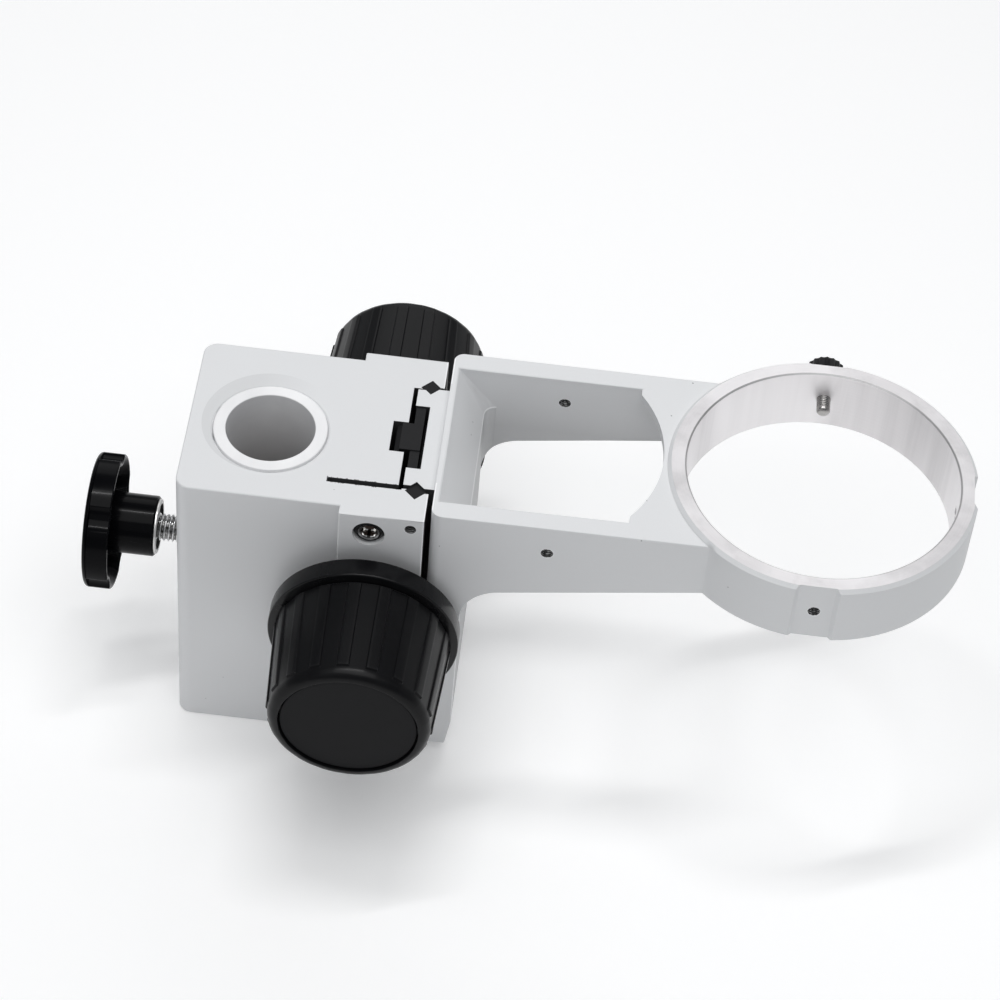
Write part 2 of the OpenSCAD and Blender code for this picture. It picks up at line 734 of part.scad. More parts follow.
// The knob is a hub and a tapered shell behind a front wall, with a seat for the cap disc
module knob_core() {
    base_r = knob_base_d / 2;
    face_r = knob_d / 2;
    seat_r = cap_d / 2 + cap_gap;
    seat_z = cap_face - cap_t - 0.1;
    bore_r = shaft_d / 2 + knob_fit;
    base_z = collar_out + knob_collar_gap;
    rotate_extrude() polygon(concat(
        [[knob_screw_hole_r, front_wall_in], [knob_screw_hole_r, front_wall_out]],
        [[knob_screw_pocket_r, front_wall_out], [knob_screw_pocket_r, seat_z], [seat_r, seat_z]],
        [[seat_r, knob_out - cap_rim_edge], [seat_r + cap_rim_edge, knob_out]],
        arc(face_r - rim_r, knob_out - rim_r, rim_r, 90, 0, 8),
        [[base_r, rib_start], [base_r - 0.4, base_z], [base_r - knob_wall, base_z]],
        [[face_r - knob_wall, front_wall_in], [knob_hub_r, front_wall_in]],
        [[knob_hub_r, base_z], [bore_r, base_z], [bore_r, front_wall_in]]));
    translate([shaft_flat + knob_fit, -bore_r, base_z])
        cube([bore_r - shaft_flat, 2 * bore_r, front_wall_in - base_z + knob_collar_gap]);
}

module knob_ribs() {
    base_r = knob_base_d / 2;
    face_r = knob_d / 2;
    taper = (base_r - face_r) / (knob_out - rim_r - rib_start);
    function skin(z) = base_r - taper * (z - rib_start);
    half_angle = 180 * rib_share / rib_count;
    reach = base_r + 2 * rim_r;
    slope = rib_h / 2;
    root = -slope;
    intersection() {
        rotate_extrude() polygon([
            [skin(rib_start) + root, rib_start], [skin(rib_start) + rib_h - slope, rib_start],
            [skin(rib_start + slope) + rib_h, rib_start + slope], [skin(rib_end) + rib_h, rib_end - slope],
            [skin(rib_end) + rib_h - slope, rib_end], [skin(rib_end) + root, rib_end],
        ]);
        translate([0, 0, rib_start - over]) linear_extrude(height = knob_out - rib_start)
            for (k = [0:rib_count - 1]) let (a = 360 * k / rib_count + rib_turn)
                polygon([[0, 0], reach * [cos(a - half_angle), sin(a - half_angle)],
                    reach * [cos(a + half_angle), sin(a + half_angle)]]);
    }
}

module knob(side) {
    color("black") on_shaft(side) {
        knob_core();
        knob_ribs();
    }
}

module knob_cap(side) {
    color("black") on_shaft(side) rotate_extrude() polygon([
        [0, cap_face - cap_t], [cap_d / 2, cap_face - cap_t], [cap_d / 2, cap_face - 0.2],
        [cap_d / 2 - 0.2, cap_face], [0, cap_face],
    ]);
}

// Column clamp
module clamp_pad() {
    color("goldenrod") {
        along_clamp(clamp_tip, clamp_tip + pad_t, clamp_stud_d / 2 - 0.8);
        along_clamp(clamp_tip + pad_t - 0.1, clamp_tip + pad_t + pad_pin_l, pad_pin_r);
    }
}

module clamp_stud() {
    start = clamp_tip + pad_t + 0.05;
    color("silver") difference() {
        along_clamp(start, clamp_bore_end - 0.3, clamp_stud_d / 2);
        along_clamp(start - over, start + pad_pin_l + 1, pad_pin_r + thread_fit);
    }
}

module clamp_insert() {
    color("silver") difference() {
        union() {
            along_clamp(clamp_hub_start - insert_proud, clamp_hub_start, insert_r);
            along_clamp(clamp_hub_start - 0.1, clamp_bore_end - 0.05, clamp_stud_d / 2 + insert_wall);
        }
        along_clamp(clamp_hub_start - over, clamp_rim_end, clamp_stud_d / 2);
    }
}

module clamp_notches(grow) {
    r = clamp_knob_d / 2;
    for (k = [0:clamp_lobes - 1]) rotate([0, 0, 360 * k / clamp_lobes + notch_turn])
        translate([r + notch_r - notch_depth, 0, 0]) cylinder(h = clamp_rim_end + over, r = notch_r + grow);
}

module clamp_knob() {
    r = clamp_knob_d / 2;
    edge = 2;
    hub_r = clamp_hub_d / 2;
    color("black") translate([0, 0, clamp_z]) rotate([0, -90, 0]) difference() {
        union() {
            difference() {
                rotate_extrude() polygon(concat(
                    [[0, clamp_rim_start], [r - 0.5, clamp_rim_start], [r, clamp_rim_start + 0.5]],
                    arc(r - edge, clamp_rim_end - edge, edge, 0, 80, 6),
                    [[0, clamp_rim_end + 0.6]]));
                clamp_notches(0);
                difference() {
                    translate([0, 0, clamp_rim_start - over])
                        cylinder(h = clamp_rim_t - clamp_web + over, r = r - clamp_skin);
                    clamp_notches(clamp_skin);
                }
            }
            translate([0, 0, clamp_hub_start]) cylinder(h = clamp_rim_end - clamp_hub_start - 1, r = hub_r);
        }
        translate([0, 0, clamp_hub_start - over])
            cylinder(h = clamp_bore_end - clamp_hub_start + over,
                r = clamp_stud_d / 2 + insert_wall + thread_fit);
    }
}

// Ring screw
module ring_screw_stud() {
    r = ring_screw_d / 2;
    tip = ring_bore_r - ring_tip_in;
    tip_round = 0.7 * r;
    color("silver") on_ring_screw() rotate_extrude()
        polygon(concat(
            [[0, ring_stud_end], [0, tip]],
            arc(r - tip_round, tip + tip_round, tip_round, -80, 0, 5),
            [[r, ring_stud_end]]));
}

module ring_screw_head() {
    scallops = 18;
    scallop_r = 0.85;
    scallop_reach = ring_head_d / 2 + 0.45;
    r = ring_head_d / 2;
    edge = 0.6;
    color("black") on_ring_screw() difference() {
        rotate_extrude() polygon([
            [0, ring_head_start], [r - edge, ring_head_start], [r, ring_head_start + edge],
            [r, ring_head_end - edge], [r - edge, ring_head_end], [0, ring_head_end],
        ]);
        cylinder(h = ring_stud_end + 0.05, r = ring_screw_d / 2 + 0.01);
        for (k = [0:scallops - 1]) rotate([0, 0, 360 * k / scallops])
            translate([scallop_reach, 0, ring_head_start - over])
                cylinder(h = ring_head_l + 2 * over, r = scallop_r, $fn = 24);
    }
}

focus_housing();
reducer_bush();
shaft_bush(-1);  // front_shaft_bush
shaft_bush(1);  // back_shaft_bush
guide_bar(-1);  // front_guide_bar
guide_bar(1);  // back_guide_bar
jaw_screws();
bar_set_screws();
arm_casting();
rack();
rack_bar();
rack_screws();
pinion_shaft();
friction_washers();
knob_screws();
knob(-1);  // front_knob
collar(-1);  // front_knob_collar
knob_cap(-1);  // front_knob_cap
knob(1);  // back_knob
collar(1);  // back_knob_collar
knob_cap(1);  // back_knob_cap
clamp_pad();
clamp_stud();
clamp_insert();
clamp_knob();
ring_screw_stud();
ring_screw_head();
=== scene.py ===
import math

import bmesh
import bpy
import numpy as np
from mathutils import Matrix, Vector


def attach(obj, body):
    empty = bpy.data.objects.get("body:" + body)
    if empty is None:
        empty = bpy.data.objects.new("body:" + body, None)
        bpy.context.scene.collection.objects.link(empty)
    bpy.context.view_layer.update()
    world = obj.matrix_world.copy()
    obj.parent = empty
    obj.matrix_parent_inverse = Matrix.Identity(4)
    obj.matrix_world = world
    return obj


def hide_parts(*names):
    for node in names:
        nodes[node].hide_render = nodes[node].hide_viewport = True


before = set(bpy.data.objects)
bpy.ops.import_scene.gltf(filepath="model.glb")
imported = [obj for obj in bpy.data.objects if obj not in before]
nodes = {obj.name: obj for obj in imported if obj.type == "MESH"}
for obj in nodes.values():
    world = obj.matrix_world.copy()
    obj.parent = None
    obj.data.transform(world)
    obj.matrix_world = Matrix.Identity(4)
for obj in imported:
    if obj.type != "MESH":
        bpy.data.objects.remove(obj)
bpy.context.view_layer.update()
mm = 0.001
print("stage: frame loaded,", len(nodes), "nodes")

# places that several pieces share, in mm, as the part's source has them
guideY = 2.7
shaftAxis = {"x": 31.8, "z": 58.6}
clampZ = 52.4
ringAxis = {"x": 153.6, "screwZ": 93.7, "topZ": 103.9}


# Materials. Every pattern reads the piece's own coordinates, so it stays on the piece when a joint moves.

def nodeMaterial(name, color, roughness, metallic=0.0, specular=0.5, coat=0.0, coatRoughness=0.06):
    material = bpy.data.materials.new(name)
    material.use_nodes = True
    shader = material.node_tree.nodes["Principled BSDF"]
    shader.inputs["Base Color"].default_value = (*color, 1)
    shader.inputs["Roughness"].default_value = roughness
    shader.inputs["Metallic"].default_value = metallic
    shader.inputs["Specular IOR Level"].default_value = specular
    shader.inputs["Coat Weight"].default_value = coat
    shader.inputs["Coat Roughness"].default_value = coatRoughness
    return material


def addNode(material, kind, inputs=None, **settings):
    node = material.node_tree.nodes.new(kind)
    for key, value in settings.items():
        setattr(node, key, value)
    for key, value in (inputs or {}).items():
        if isinstance(value, bpy.types.NodeSocket):
            material.node_tree.links.new(value, node.inputs[key])
        else:
            node.inputs[key].default_value = value
    return node


def link(material, source, socket):
    material.node_tree.links.new(source, material.node_tree.nodes["Principled BSDF"].inputs[socket])


def objectPlace(material, scale=(1, 1, 1)):
    place = addNode(material, "ShaderNodeTexCoord").outputs["Object"]
    return addNode(material, "ShaderNodeMapping", {"Vector": place, "Scale": scale}).outputs["Vector"]


def placeInMm(material):
    # the three coordinates as separate numbers, for masks
    axes = addNode(material, "ShaderNodeSeparateXYZ", {"Vector": objectPlace(material, (1 / mm,) * 3)})
    return axes.outputs["X"], axes.outputs["Y"], axes.outputs["Z"]


def noise(material, place, scale, detail=3.0, rough=0.5):
    return addNode(material, "ShaderNodeTexNoise", {
        "Vector": place, "Scale": scale, "Detail": detail, "Roughness": rough}).outputs["Fac"]


def span(material, value, low, high, fromLow=0.0, fromHigh=1.0):
    return addNode(material, "ShaderNodeMapRange", {"Value": value, "From Min": fromLow, "From Max": fromHigh,
        "To Min": low, "To Max": high}).outputs["Result"]


def maths(material, operation, first, second=0.0):
    return addNode(material, "ShaderNodeMath", {0: first, 1: second}, operation=operation).outputs[0]


def above(material, value, low):
    return maths(material, "GREATER_THAN", value, low)


def below(material, value, high):
    return maths(material, "LESS_THAN", value, high)


def every(material, *masks):
    whole = masks[0]
    for mask in masks[1:]:
        whole = maths(material, "MULTIPLY", whole, mask)
    return whole


def between(material, value, low, high):
    return every(material, above(material, value, low), below(material, value, high))


def offset(material, value, middle):
    # how far a coordinate is from a plane, on either side
    return maths(material, "ABSOLUTE", maths(material, "SUBTRACT", value, middle))


def fromLine(material, first, second, centre):
    # distance in mm from a line that is seen along its length
    point = addNode(material, "ShaderNodeCombineXYZ", {"X": first, "Y": second, "Z": 0.0}).outputs[0]
    away = addNode(material, "ShaderNodeVectorMath", {0: point, 1: (*centre, 0.0)}, operation="DISTANCE")
    return away.outputs["Value"]


def unless(material, mask, distance, far=99.0):
    # the distance, but out of reach where the mask is 1
    return maths(material, "ADD", maths(material, "MULTIPLY", mask, far), distance)


def mixColor(material, amount, first, second):
    mix = addNode(material, "ShaderNodeMix", data_type="RGBA")
    for socket, value in ((mix.inputs[0], amount), (mix.inputs[6], first), (mix.inputs[7], second)):
        if isinstance(value, bpy.types.NodeSocket):
            material.node_tree.links.new(value, socket)
        else:
            socket.default_value = value if isinstance(value, float) else (*value, 1)
    return mix.outputs[2]


def shaded(color, factor):
    return tuple(min(1.0, c * factor) for c in color)


def bump(material, height, depth, strength=1.0, before=None):
    # depth is the real height of the pattern in metres
    inputs = {"Height": height, "Distance": depth, "Strength": strength}
    if before is not None:
        inputs["Normal"] = before
    return addNode(material, "ShaderNodeBump", inputs).outputs["Normal"]


def sharpEdges(material, low=0.52, high=0.62):
    # 1 on sharp outer edges and 0 elsewhere, for pieces with dense surfaces
    point = addNode(material, "ShaderNodeNewGeometry").outputs["Pointiness"]
    return span(material, point, 0.0, 1.0, low, high)


def overlay(material, mask, surface):
    # lays another surface over the one before, where mask is 1
    tree = material.node_tree
    shader = tree.nodes["Principled BSDF"]
    kinds = {"Base Color": ("RGBA", (0, 6, 7), 2), "Normal": ("VECTOR", (0, 4, 5), 1)}
    for key, value in surface.items():
        socket = shader.inputs[key]
        kind, slots, out = kinds.get(key, ("FLOAT", (0, 2, 3), 0))
        mix = addNode(material, "ShaderNodeMix", data_type=kind)
        before = socket.links[0].from_socket if socket.links else socket.default_value
        for slot, source in zip(slots, (mask, before, value)):
            if isinstance(source, bpy.types.NodeSocket):
                tree.links.new(source, mix.inputs[slot])
            elif key == "Base Color" and len(source) == 3:
                mix.inputs[slot].default_value = (*source, 1)
            else:
                mix.inputs[slot].default_value = source
        tree.links.new(mix.outputs[out], socket)


# scales are patterns per metre, and peel and grain are their heights in metres
powder = {"color": (0.735, 0.742, 0.752), "roughness": 0.44, "peelScale": 620, "peel": 0.00003,
    "grainScale": 3200, "grain": 0.000012, "grainShade": 0.86, "cloudScale": 34, "clouds": (0.985, 1.012),
    "speckCell": 5.0, "speckRadius": 0.26, "speckShare": 0.18, "speckColor": (0.16, 0.16, 0.16)}


def powderCoat(name):
    # light grey powder coat: soft orange peel, fine grain, faint cloudiness and a few dark specks
    p = powder
    material = nodeMaterial(name, p["color"], p["roughness"])
    place = objectPlace(material)
    peel = noise(material, place, p["peelScale"], 2.0)
    grain = noise(material, place, p["grainScale"], 2.0)
    clouds = noise(material, place, p["cloudScale"], 4.0)
    cell = addNode(material, "ShaderNodeTexVoronoi", {"Vector": place, "Scale": 1 / (p["speckCell"] * mm)})
    chance = addNode(material, "ShaderNodeSeparateColor", {"Color": cell.outputs["Color"]}).outputs["Red"]
    speck = every(material, below(material, cell.outputs["Distance"], p["speckRadius"] / p["speckCell"]),
        below(material, chance, p["speckShare"]), 0.7)
    tone = mixColor(material, clouds, *(shaded(p["color"], factor) for factor in p["clouds"]))
    dull = span(material, grain, 0.0, 0.10, 0.35, 0.65)
    tone = mixColor(material, dull, tone, shaded(p["color"], p["grainShade"]))
    tone = mixColor(material, speck, tone, p["speckColor"])
    link(material, tone, "Base Color")
    link(material, span(material, clouds, p["roughness"] - 0.05, p["roughness"] + 0.06), "Roughness")
    shape = bump(material, grain, p["grain"], 0.6)
    link(material, bump(material, peel, p["peel"], 0.7, shape), "Normal")
    return material


tapped = {"pitch": 0.7, "depth": 0.0003, "roughness": 0.22, "metallic": 0.35, "glintPatchScale": 1100,
    "mouthWidth": 0.16, "mouthColor": (0.86, 0.86, 0.88)}


def tappedHole(material, fromAxis, along, radius=1.72, root=0.07, crest=1.0):
    # bare thread inside a hole, painted dark as the shade inside it, with painted glints in patches on its crests,
    #     # and a worn bright edge round its mouth
    t = tapped
    turn = maths(material, "MULTIPLY", along, 2 * math.pi / t["pitch"])
    thread = span(material, maths(material, "SINE", turn), 0.0, 1.0, -1.0, 1.0)
    uneven = noise(material, objectPlace(material), t["glintPatchScale"], 1.0)
    glintPatches = span(material, uneven, 0.0, 1.0, 0.44, 0.58)
    paintedGlint = every(material, maths(material, "POWER", thread, 2.0), glintPatches)
    mouth = every(material, between(material, fromAxis, radius - 0.001, radius + t["mouthWidth"]), 0.6)
    overlay(material, mouth, {"Base Color": t["mouthColor"]})
    # root is the painted shade inside the hole and crest the colour of its painted glints
    overlay(material, below(material, fromAxis, radius), {
        "Base Color": mixColor(material, paintedGlint, (root,) * 3, (crest,) * 3), "Roughness": t["roughness"],
        "Metallic": t["metallic"], "Normal": bump(material, thread, t["depth"], 0.9)})


milled = {"dark": (0.055, 0.055, 0.058), "light": (0.11, 0.11, 0.115), "roughness": 0.45, "metallic": 0.4,
    "markScale": 700, "bareEdge": (0.92, 0.92, 0.93)}


def shadedMilledSlide(material, mask):
    # the milled faces of the slide, painted dark as the shade in the narrow channel
    marks = noise(material, objectPlace(material, (1, 1, 0.05)), milled["markScale"], 3.0)
    overlay(material, mask, {"Base Color": mixColor(material, marks, milled["dark"], milled["light"]),
        "Roughness": milled["roughness"], "Metallic": milled["metallic"]})


# places of the housing's marks, in mm: the painted shadow of the bush, a crescent that fades along x, the painted
# shade in the gap round the bush, the milled channel and the slit, both painted dark as shade, the bare edges of
# the jaws and the set screws' holes
housingMarks = {"middleZ": 49.5, "insideHalf": 49.44, "bushShadowAt": (-0.57, 2.33), "bushShadowRadius": 18.93,
    "bushShadowFadeX": (-6.0, 11.0), "paintedShadeZ": 98.9,
    "gapShadeRadii": (15.9, 16.16), "gapShadeZ": 98.5, "gapShadeColor": (0.30, 0.30, 0.31),
    "channelX": (27.0, 46.2), "channelHalf": 22.0, "bareX": (45.9, 46.21), "bareFrom": 20.0,
    "slitY": -16.275, "slitX": (17.9, 37.9), "slitHalf": (0.84, 1.16), "raggedScale": 1300,
    "slitShadeDeep": (0.03, 0.03, 0.032), "slitShadePale": (0.13, 0.13, 0.135),
    "setScrew": (42.6, 46.2), "setScrewRadius": 1.6, "setScrewSide": -20.0}


def housingPaint(name):
    # the paint, painted shade in the slit and on the milled slide, tapped holes with painted glints, and painted
    # shadow and shade round the bush
    h = housingMarks
    material = powderCoat(name)
    x, y, z = placeInMm(material)
    level = offset(material, z, h["middleZ"])
    offGuide = offset(material, y, guideY)
    # painted shadow of the bush on the top face: a darker crescent beside it, fading along x
    bushShadow = every(material, below(material, fromLine(material, x, y, h["bushShadowAt"]), h["bushShadowRadius"]),
        above(material, z, h["paintedShadeZ"]), span(material, x, 0.62, 0.0, *h["bushShadowFadeX"]))
    overlay(material, bushShadow, {"Base Color": shaded(powder["color"], 0.82), "Roughness": 0.5})
    # painted shade in the gap round the bush: a thin dark ring on the paint at the bore's edge
    gapShade = every(material, between(material, fromLine(material, x, y, (0.0, 0.0)), *h["gapShadeRadii"]),
        above(material, z, h["gapShadeZ"]), 0.8)
    overlay(material, gapShade, {"Base Color": h["gapShadeColor"]})
    channel = every(material, between(material, x, *h["channelX"]), below(material, offGuide, h["channelHalf"]),
        below(material, level, h["insideHalf"]))
    # the channel's milled faces, painted dark as the shade inside the channel
    shadedMilledSlide(material, maths(material, "MAXIMUM", channel, above(material, x, h["channelX"][1])))
    # painted shade in the sawn slit and along its ragged edges
    ragged = noise(material, objectPlace(material), h["raggedScale"], 3.0, 0.7)
    slitHalf = span(material, ragged, *h["slitHalf"], 0.5, 0.66)
    slit = every(material, below(material, offset(material, y, h["slitY"]), slitHalf),
        between(material, x, *h["slitX"]))
    overlay(material, slit, {"Base Color": mixColor(material, ragged, h["slitShadeDeep"], h["slitShadePale"]),
        "Roughness": 0.6, "Metallic": 0.2})
    bareEdge = every(material, between(material, x, *h["bareX"]), above(material, offGuide, h["bareFrom"]))
    overlay(material, bareEdge, {"Base Color": milled["bareEdge"]})
    tappedHole(material, unless(material, above(material, y, h["setScrewSide"]),
        fromLine(material, x, level, h["setScrew"])), y, h["setScrewRadius"], root=0.18, crest=0.5)
    return material


# the ring's bare metal: feed is the pitch of the turning marks in mm, and depth their height in metres
turned = {"color": (0.83, 0.81, 0.82), "roughness": 0.36, "metallic": 0.7, "feed": 0.24, "depth": 0.000007,
    "rimRadius": 42.22, "boreRadius": 38.6, "lipRadii": (38.03, 38.5), "lipZ": 103.3,
    "lipShadeColor": (0.32, 0.32, 0.32), "glare": (0.97, 0.95, 0.96), "streakReflectionShade": 0.68, "bandReflectionShade": 0.74}


def bareRing(material, x, y, z):
    # the rim and the bore with turning marks, painted reflections as streaks and broad bands, and painted shade on
    # the lip
    #     # between them
    t = turned
    radius = fromLine(material, x, y, (ringAxis["x"], guideY))
    onRim = every(material, above(material, z, ringAxis["topZ"] - 0.02), below(material, radius, t["rimRadius"]))
    inBore = below(material, radius, t["boreRadius"])
    marks = maths(material, "ADD", radius, z)
    wave = maths(material, "SINE", maths(material, "MULTIPLY", marks, 2 * math.pi / t["feed"]))
    lines = addNode(material, "ShaderNodeCombineXYZ", {"X": marks, "Y": 0.0, "Z": 0.0}).outputs[0]
    uneven = noise(material, lines, 2.6, 4.0, 0.7)
    streakReflections = noise(material, objectPlace(material, (1, 1, 0.04)), 150, 4.0, 0.6)
    bandReflections = noise(material, objectPlace(material, (1, 1, 0.15)), 34, 2.0)
    smear = noise(material, objectPlace(material), 60, 3.0)
    metal = mixColor(material, uneven, shaded(t["color"], 0.88), shaded(t["color"], 1.08))
    # painted reflections: darker vertical streaks, darker and brighter broad bands, and a painted glare
    metal = mixColor(material, span(material, streakReflections, 0.0, 0.5, 0.45, 0.75), metal,
        shaded(t["color"], t["streakReflectionShade"]))
    metal = mixColor(material, span(material, bandReflections, 0.0, 0.55, 0.48, 0.66), metal,
        shaded(t["color"], t["bandReflectionShade"]))
    metal = mixColor(material, span(material, bandReflections, 0.6, 0.0, 0.34, 0.46), metal, t["glare"])
    # painted shade on the lip between rim and bore
    lip = every(material, between(material, radius, *t["lipRadii"]), above(material, z, t["lipZ"]), 0.5)
    metal = mixColor(material, lip, metal, t["lipShadeColor"])
    rough = maths(material, "ADD", span(material, uneven, -0.05, 0.06),
        span(material, smear, t["roughness"] - 0.05, t["roughness"] + 0.06))
    height = maths(material, "ADD", wave, maths(material, "MULTIPLY", uneven, 1.6))
    overlay(material, maths(material, "MAXIMUM", onRim, inBore), {"Base Color": metal, "Roughness": rough,
        "Metallic": t["metallic"], "Normal": bump(material, height, t["depth"], 0.8)})


# places of the arm's marks, in mm: the milled slide plate, the painted shade and highlight on the window's walls,
# and the holes
# # in its sides
armMarks = {"slideX": 47.95, "slideZ": (3.7, 99.54), "bareX": (47.94, 48.3), "bareFrom": 19.0,
    "windowX": (49.0, 116.0), "windowHalf": 27.6, "shadeZ": (80.0, 99.5), "wallEndX": 61.0, "footZ": 87.4,
    "creaseZ": (87.35, 87.85), "creaseHighlight": (0.95, 0.95, 0.96), "sideHole": (80.3, 92.7), "sideHoleEnd": 120.0,
    "ringHoleStart": 110.0, "ringHoleShade": 0.03}


def armPaint(name):
    # the paint, painted glints in the tapped holes, painted shade on the milled slide and down the window walls
    # with a
    #     # painted highlight along their crease, and the bare ring with painted reflections
    a = armMarks
    material = powderCoat(name)
    x, y, z = placeInMm(material)
    aside = offset(material, y, guideY)
    # the slide's milled faces, painted dark as the shade between slide and channel
    shadedMilledSlide(material, every(material, below(material, x, a["slideX"]), between(material, z, *a["slideZ"])))
    bareEdge = every(material, between(material, x, *a["bareX"]), above(material, aside, a["bareFrom"]))
    overlay(material, bareEdge, {"Base Color": milled["bareEdge"]})
    inWindow = every(material, between(material, x, *a["windowX"]), below(material, aside, a["windowHalf"]))
    onWall = below(material, x, a["wallEndX"])
    # painted shade inside the window, darker towards the bottom, darker still below the crease, and a painted
    # highlight along the crease
    overlay(material, every(material, inWindow, span(material, z, 1.0, 0.0, *a["shadeZ"])), {
        "Base Color": shaded(powder["color"], 0.65)})
    overlay(material, every(material, inWindow, below(material, z, a["footZ"]), onWall, 0.45), {
        "Base Color": shaded(powder["color"], 0.55)})
    overlay(material, every(material, inWindow, between(material, z, *a["creaseZ"]), onWall, 0.5), {
        "Base Color": a["creaseHighlight"]})
    tappedHole(material, unless(material, above(material, x, a["sideHoleEnd"]),
        fromLine(material, x, z, a["sideHole"])), y)
    inPlate = below(material, x, a["ringHoleStart"])
    for across, along, centre in ((x, y, ringAxis["x"]), (y, x, guideY)):
        hole = unless(material, inPlate, fromLine(material, across, z, (centre, ringAxis["screwZ"])))
        tappedHole(material, hole, along, root=a["ringHoleShade"])
    bareRing(material, x, y, z)
    return material


def mouldedPlastic(name, color, roughness, grain, specular=0.2, coatWeight=0.0, edgeSheenAndWear=0.05, brightened=(0.35, 0.35, 0.36)):
    # fine texture of the mould, faint flow marks, and edges a little lighter, from wear and a painted sheen
    material = nodeMaterial(name, color, roughness, specular=specular, coat=coatWeight)
    texture = noise(material, objectPlace(material), 2400, 3.0, 0.6)
    flow = noise(material, objectPlace(material, (1, 0.35, 1)), 90, 3.0)
    tone = mixColor(material, flow, shaded(color, 0.85), shaded(color, 1.2))
    # edges a little lighter: wear and a painted sheen
    tone = mixColor(material, maths(material, "MULTIPLY", sharpEdges(material), edgeSheenAndWear), tone, brightened)
    link(material, tone, "Base Color")
    link(material, span(material, flow, roughness - 0.04, roughness + 0.06), "Roughness")
    link(material, bump(material, texture, grain, 0.7), "Normal")
    return material


def brushedSteel(name, color, roughness, stretch, depth=0.000006, metallic=1.0, specular=0.5):
    # cut or ground steel: long fine marks along one axis of the piece, and smears of oil
    material = nodeMaterial(name, color, roughness, metallic, specular)
    marks = noise(material, objectPlace(material, stretch), 900, 4.0, 0.7)
    smear = noise(material, objectPlace(material), 120, 3.0)
    tone = mixColor(material, marks, shaded(color, 0.8), shaded(color, 1.2))
    link(material, tone, "Base Color")
    link(material, maths(material, "ADD", span(material, marks, -0.06, 0.06),
        span(material, smear, roughness - 0.04, roughness + 0.08)), "Roughness")
    link(material, bump(material, marks, depth, 0.8), "Normal")
    return material


def threadSteel(name, color, turnAxis, centre, root, crest, start=-999.0, rootShadeColor=(0.05, 0.05, 0.045)):
    # zinc plated thread, bright on its crests, with painted shade in patches down in its roots; the radii are in mm
    material = brushedSteel(name, color, 0.2, (0.3, 0.3, 0.3))
    x, y, z = placeInMm(material)
    depth = fromLine(material, y if turnAxis == "x" else x, z, centre)
    rootShadePatches = noise(material, objectPlace(material), 1500, 2.0)
    # painted shade in the thread's roots, in patches
    rootShade = every(material, span(material, depth, 1.0, 0.0, root, crest),
        span(material, rootShadePatches, 0.35, 1.0, 0.35, 0.65), above(material, y, start))
    overlay(material, rootShade, {"Base Color": rootShadeColor})
    return material


def insertSteel(name, hollowShadeRadius=6.75, hollowShadeColor=(0.03, 0.03, 0.03)):
    # the plated insert, with painted shade in the hollow round the screw
    material = brushedSteel(name, (0.78, 0.77, 0.76), 0.34, (1, 1, 1), metallic=0.8)
    x, y, z = placeInMm(material)
    # painted shade in the hollow round the screw
    hollow = below(material, fromLine(material, y, z, (0.0, clampZ)), hollowShadeRadius)
    overlay(material, hollow, {"Base Color": hollowShadeColor})
    return material


def bushPlastic(name, boreRadius=12.6, paintedShadeZ=(70.0, 99.0), boreShadeColor=(0.42, 0.41, 0.41)):
    # white plastic, with painted shade down the bore, darker towards the bottom
    material = mouldedPlastic(name, (0.86, 0.86, 0.875), 0.36, 0.000006, 0.5, edgeSheenAndWear=0.0)
    x, y, z = placeInMm(material)
    inBore = below(material, fromLine(material, x, y, (0.0, 0.0)), boreRadius)
    # painted shade down the bore, darker towards the bottom
    overlay(material, every(material, inBore, span(material, z, 1.0, 0.0, *paintedShadeZ)), {
        "Base Color": boreShadeColor, "Roughness": 0.45})
    return material


# the socket's marks, as radii from the screw's axis, and y where each starts or ends
socketMarks = {"middleZ": 49.5, "place": (31.2, 42.4), "radius": 2.42, "startY": -25.0,
    "color": (0.10, 0.09, 0.085), "lowRadius": 1.5,
    "glintX": (0.45, 1.75), "glintZ": (-99.0, 90.9), "glintColor": (1.0, 0.99, 0.97),
    "deepRadius": 1.7, "deepY": -25.9, "deepColor": (0.09, 0.06, 0.05),
    "mouthRadii": (2.55, 2.95), "mouthY": -27.4, "mouthColor": (0.28, 0.28, 0.28)}


def socketSteel(name):
    # black oxide on the screw's head, with painted glints on the socket's lower walls
    s = socketMarks
    material = brushedSteel(name, (0.02, 0.02, 0.021), 0.3, (1, 0.2, 1), metallic=0.5)
    x, y, z = placeInMm(material)
    offScrew = fromLine(material, x, offset(material, z, s["middleZ"]), s["place"])
    socket = every(material, below(material, offScrew, s["radius"]), below(material, y, s["startY"]))
    overlay(material, socket, {"Base Color": s["color"], "Roughness": 0.14, "Metallic": 1.0})
    # painted glints at the socket's two lower corners
    brightened = every(material, above(material, offScrew, s["lowRadius"]),
        between(material, offset(material, x, s["place"][0]), *s["glintX"]),
        between(material, z, *s["glintZ"]), socket)
    overlay(material, brightened, {"Base Color": s["glintColor"]})
    deep = every(material, below(material, offScrew, s["deepRadius"]), above(material, y, s["deepY"]))
    overlay(material, deep, {"Base Color": s["deepColor"], "Roughness": 0.35})
    mouth = every(material, between(material, offScrew, *s["mouthRadii"]), below(material, y, s["mouthY"]))
    overlay(material, mouth, {"Base Color": s["mouthColor"], "Metallic": 1.0})
    return material


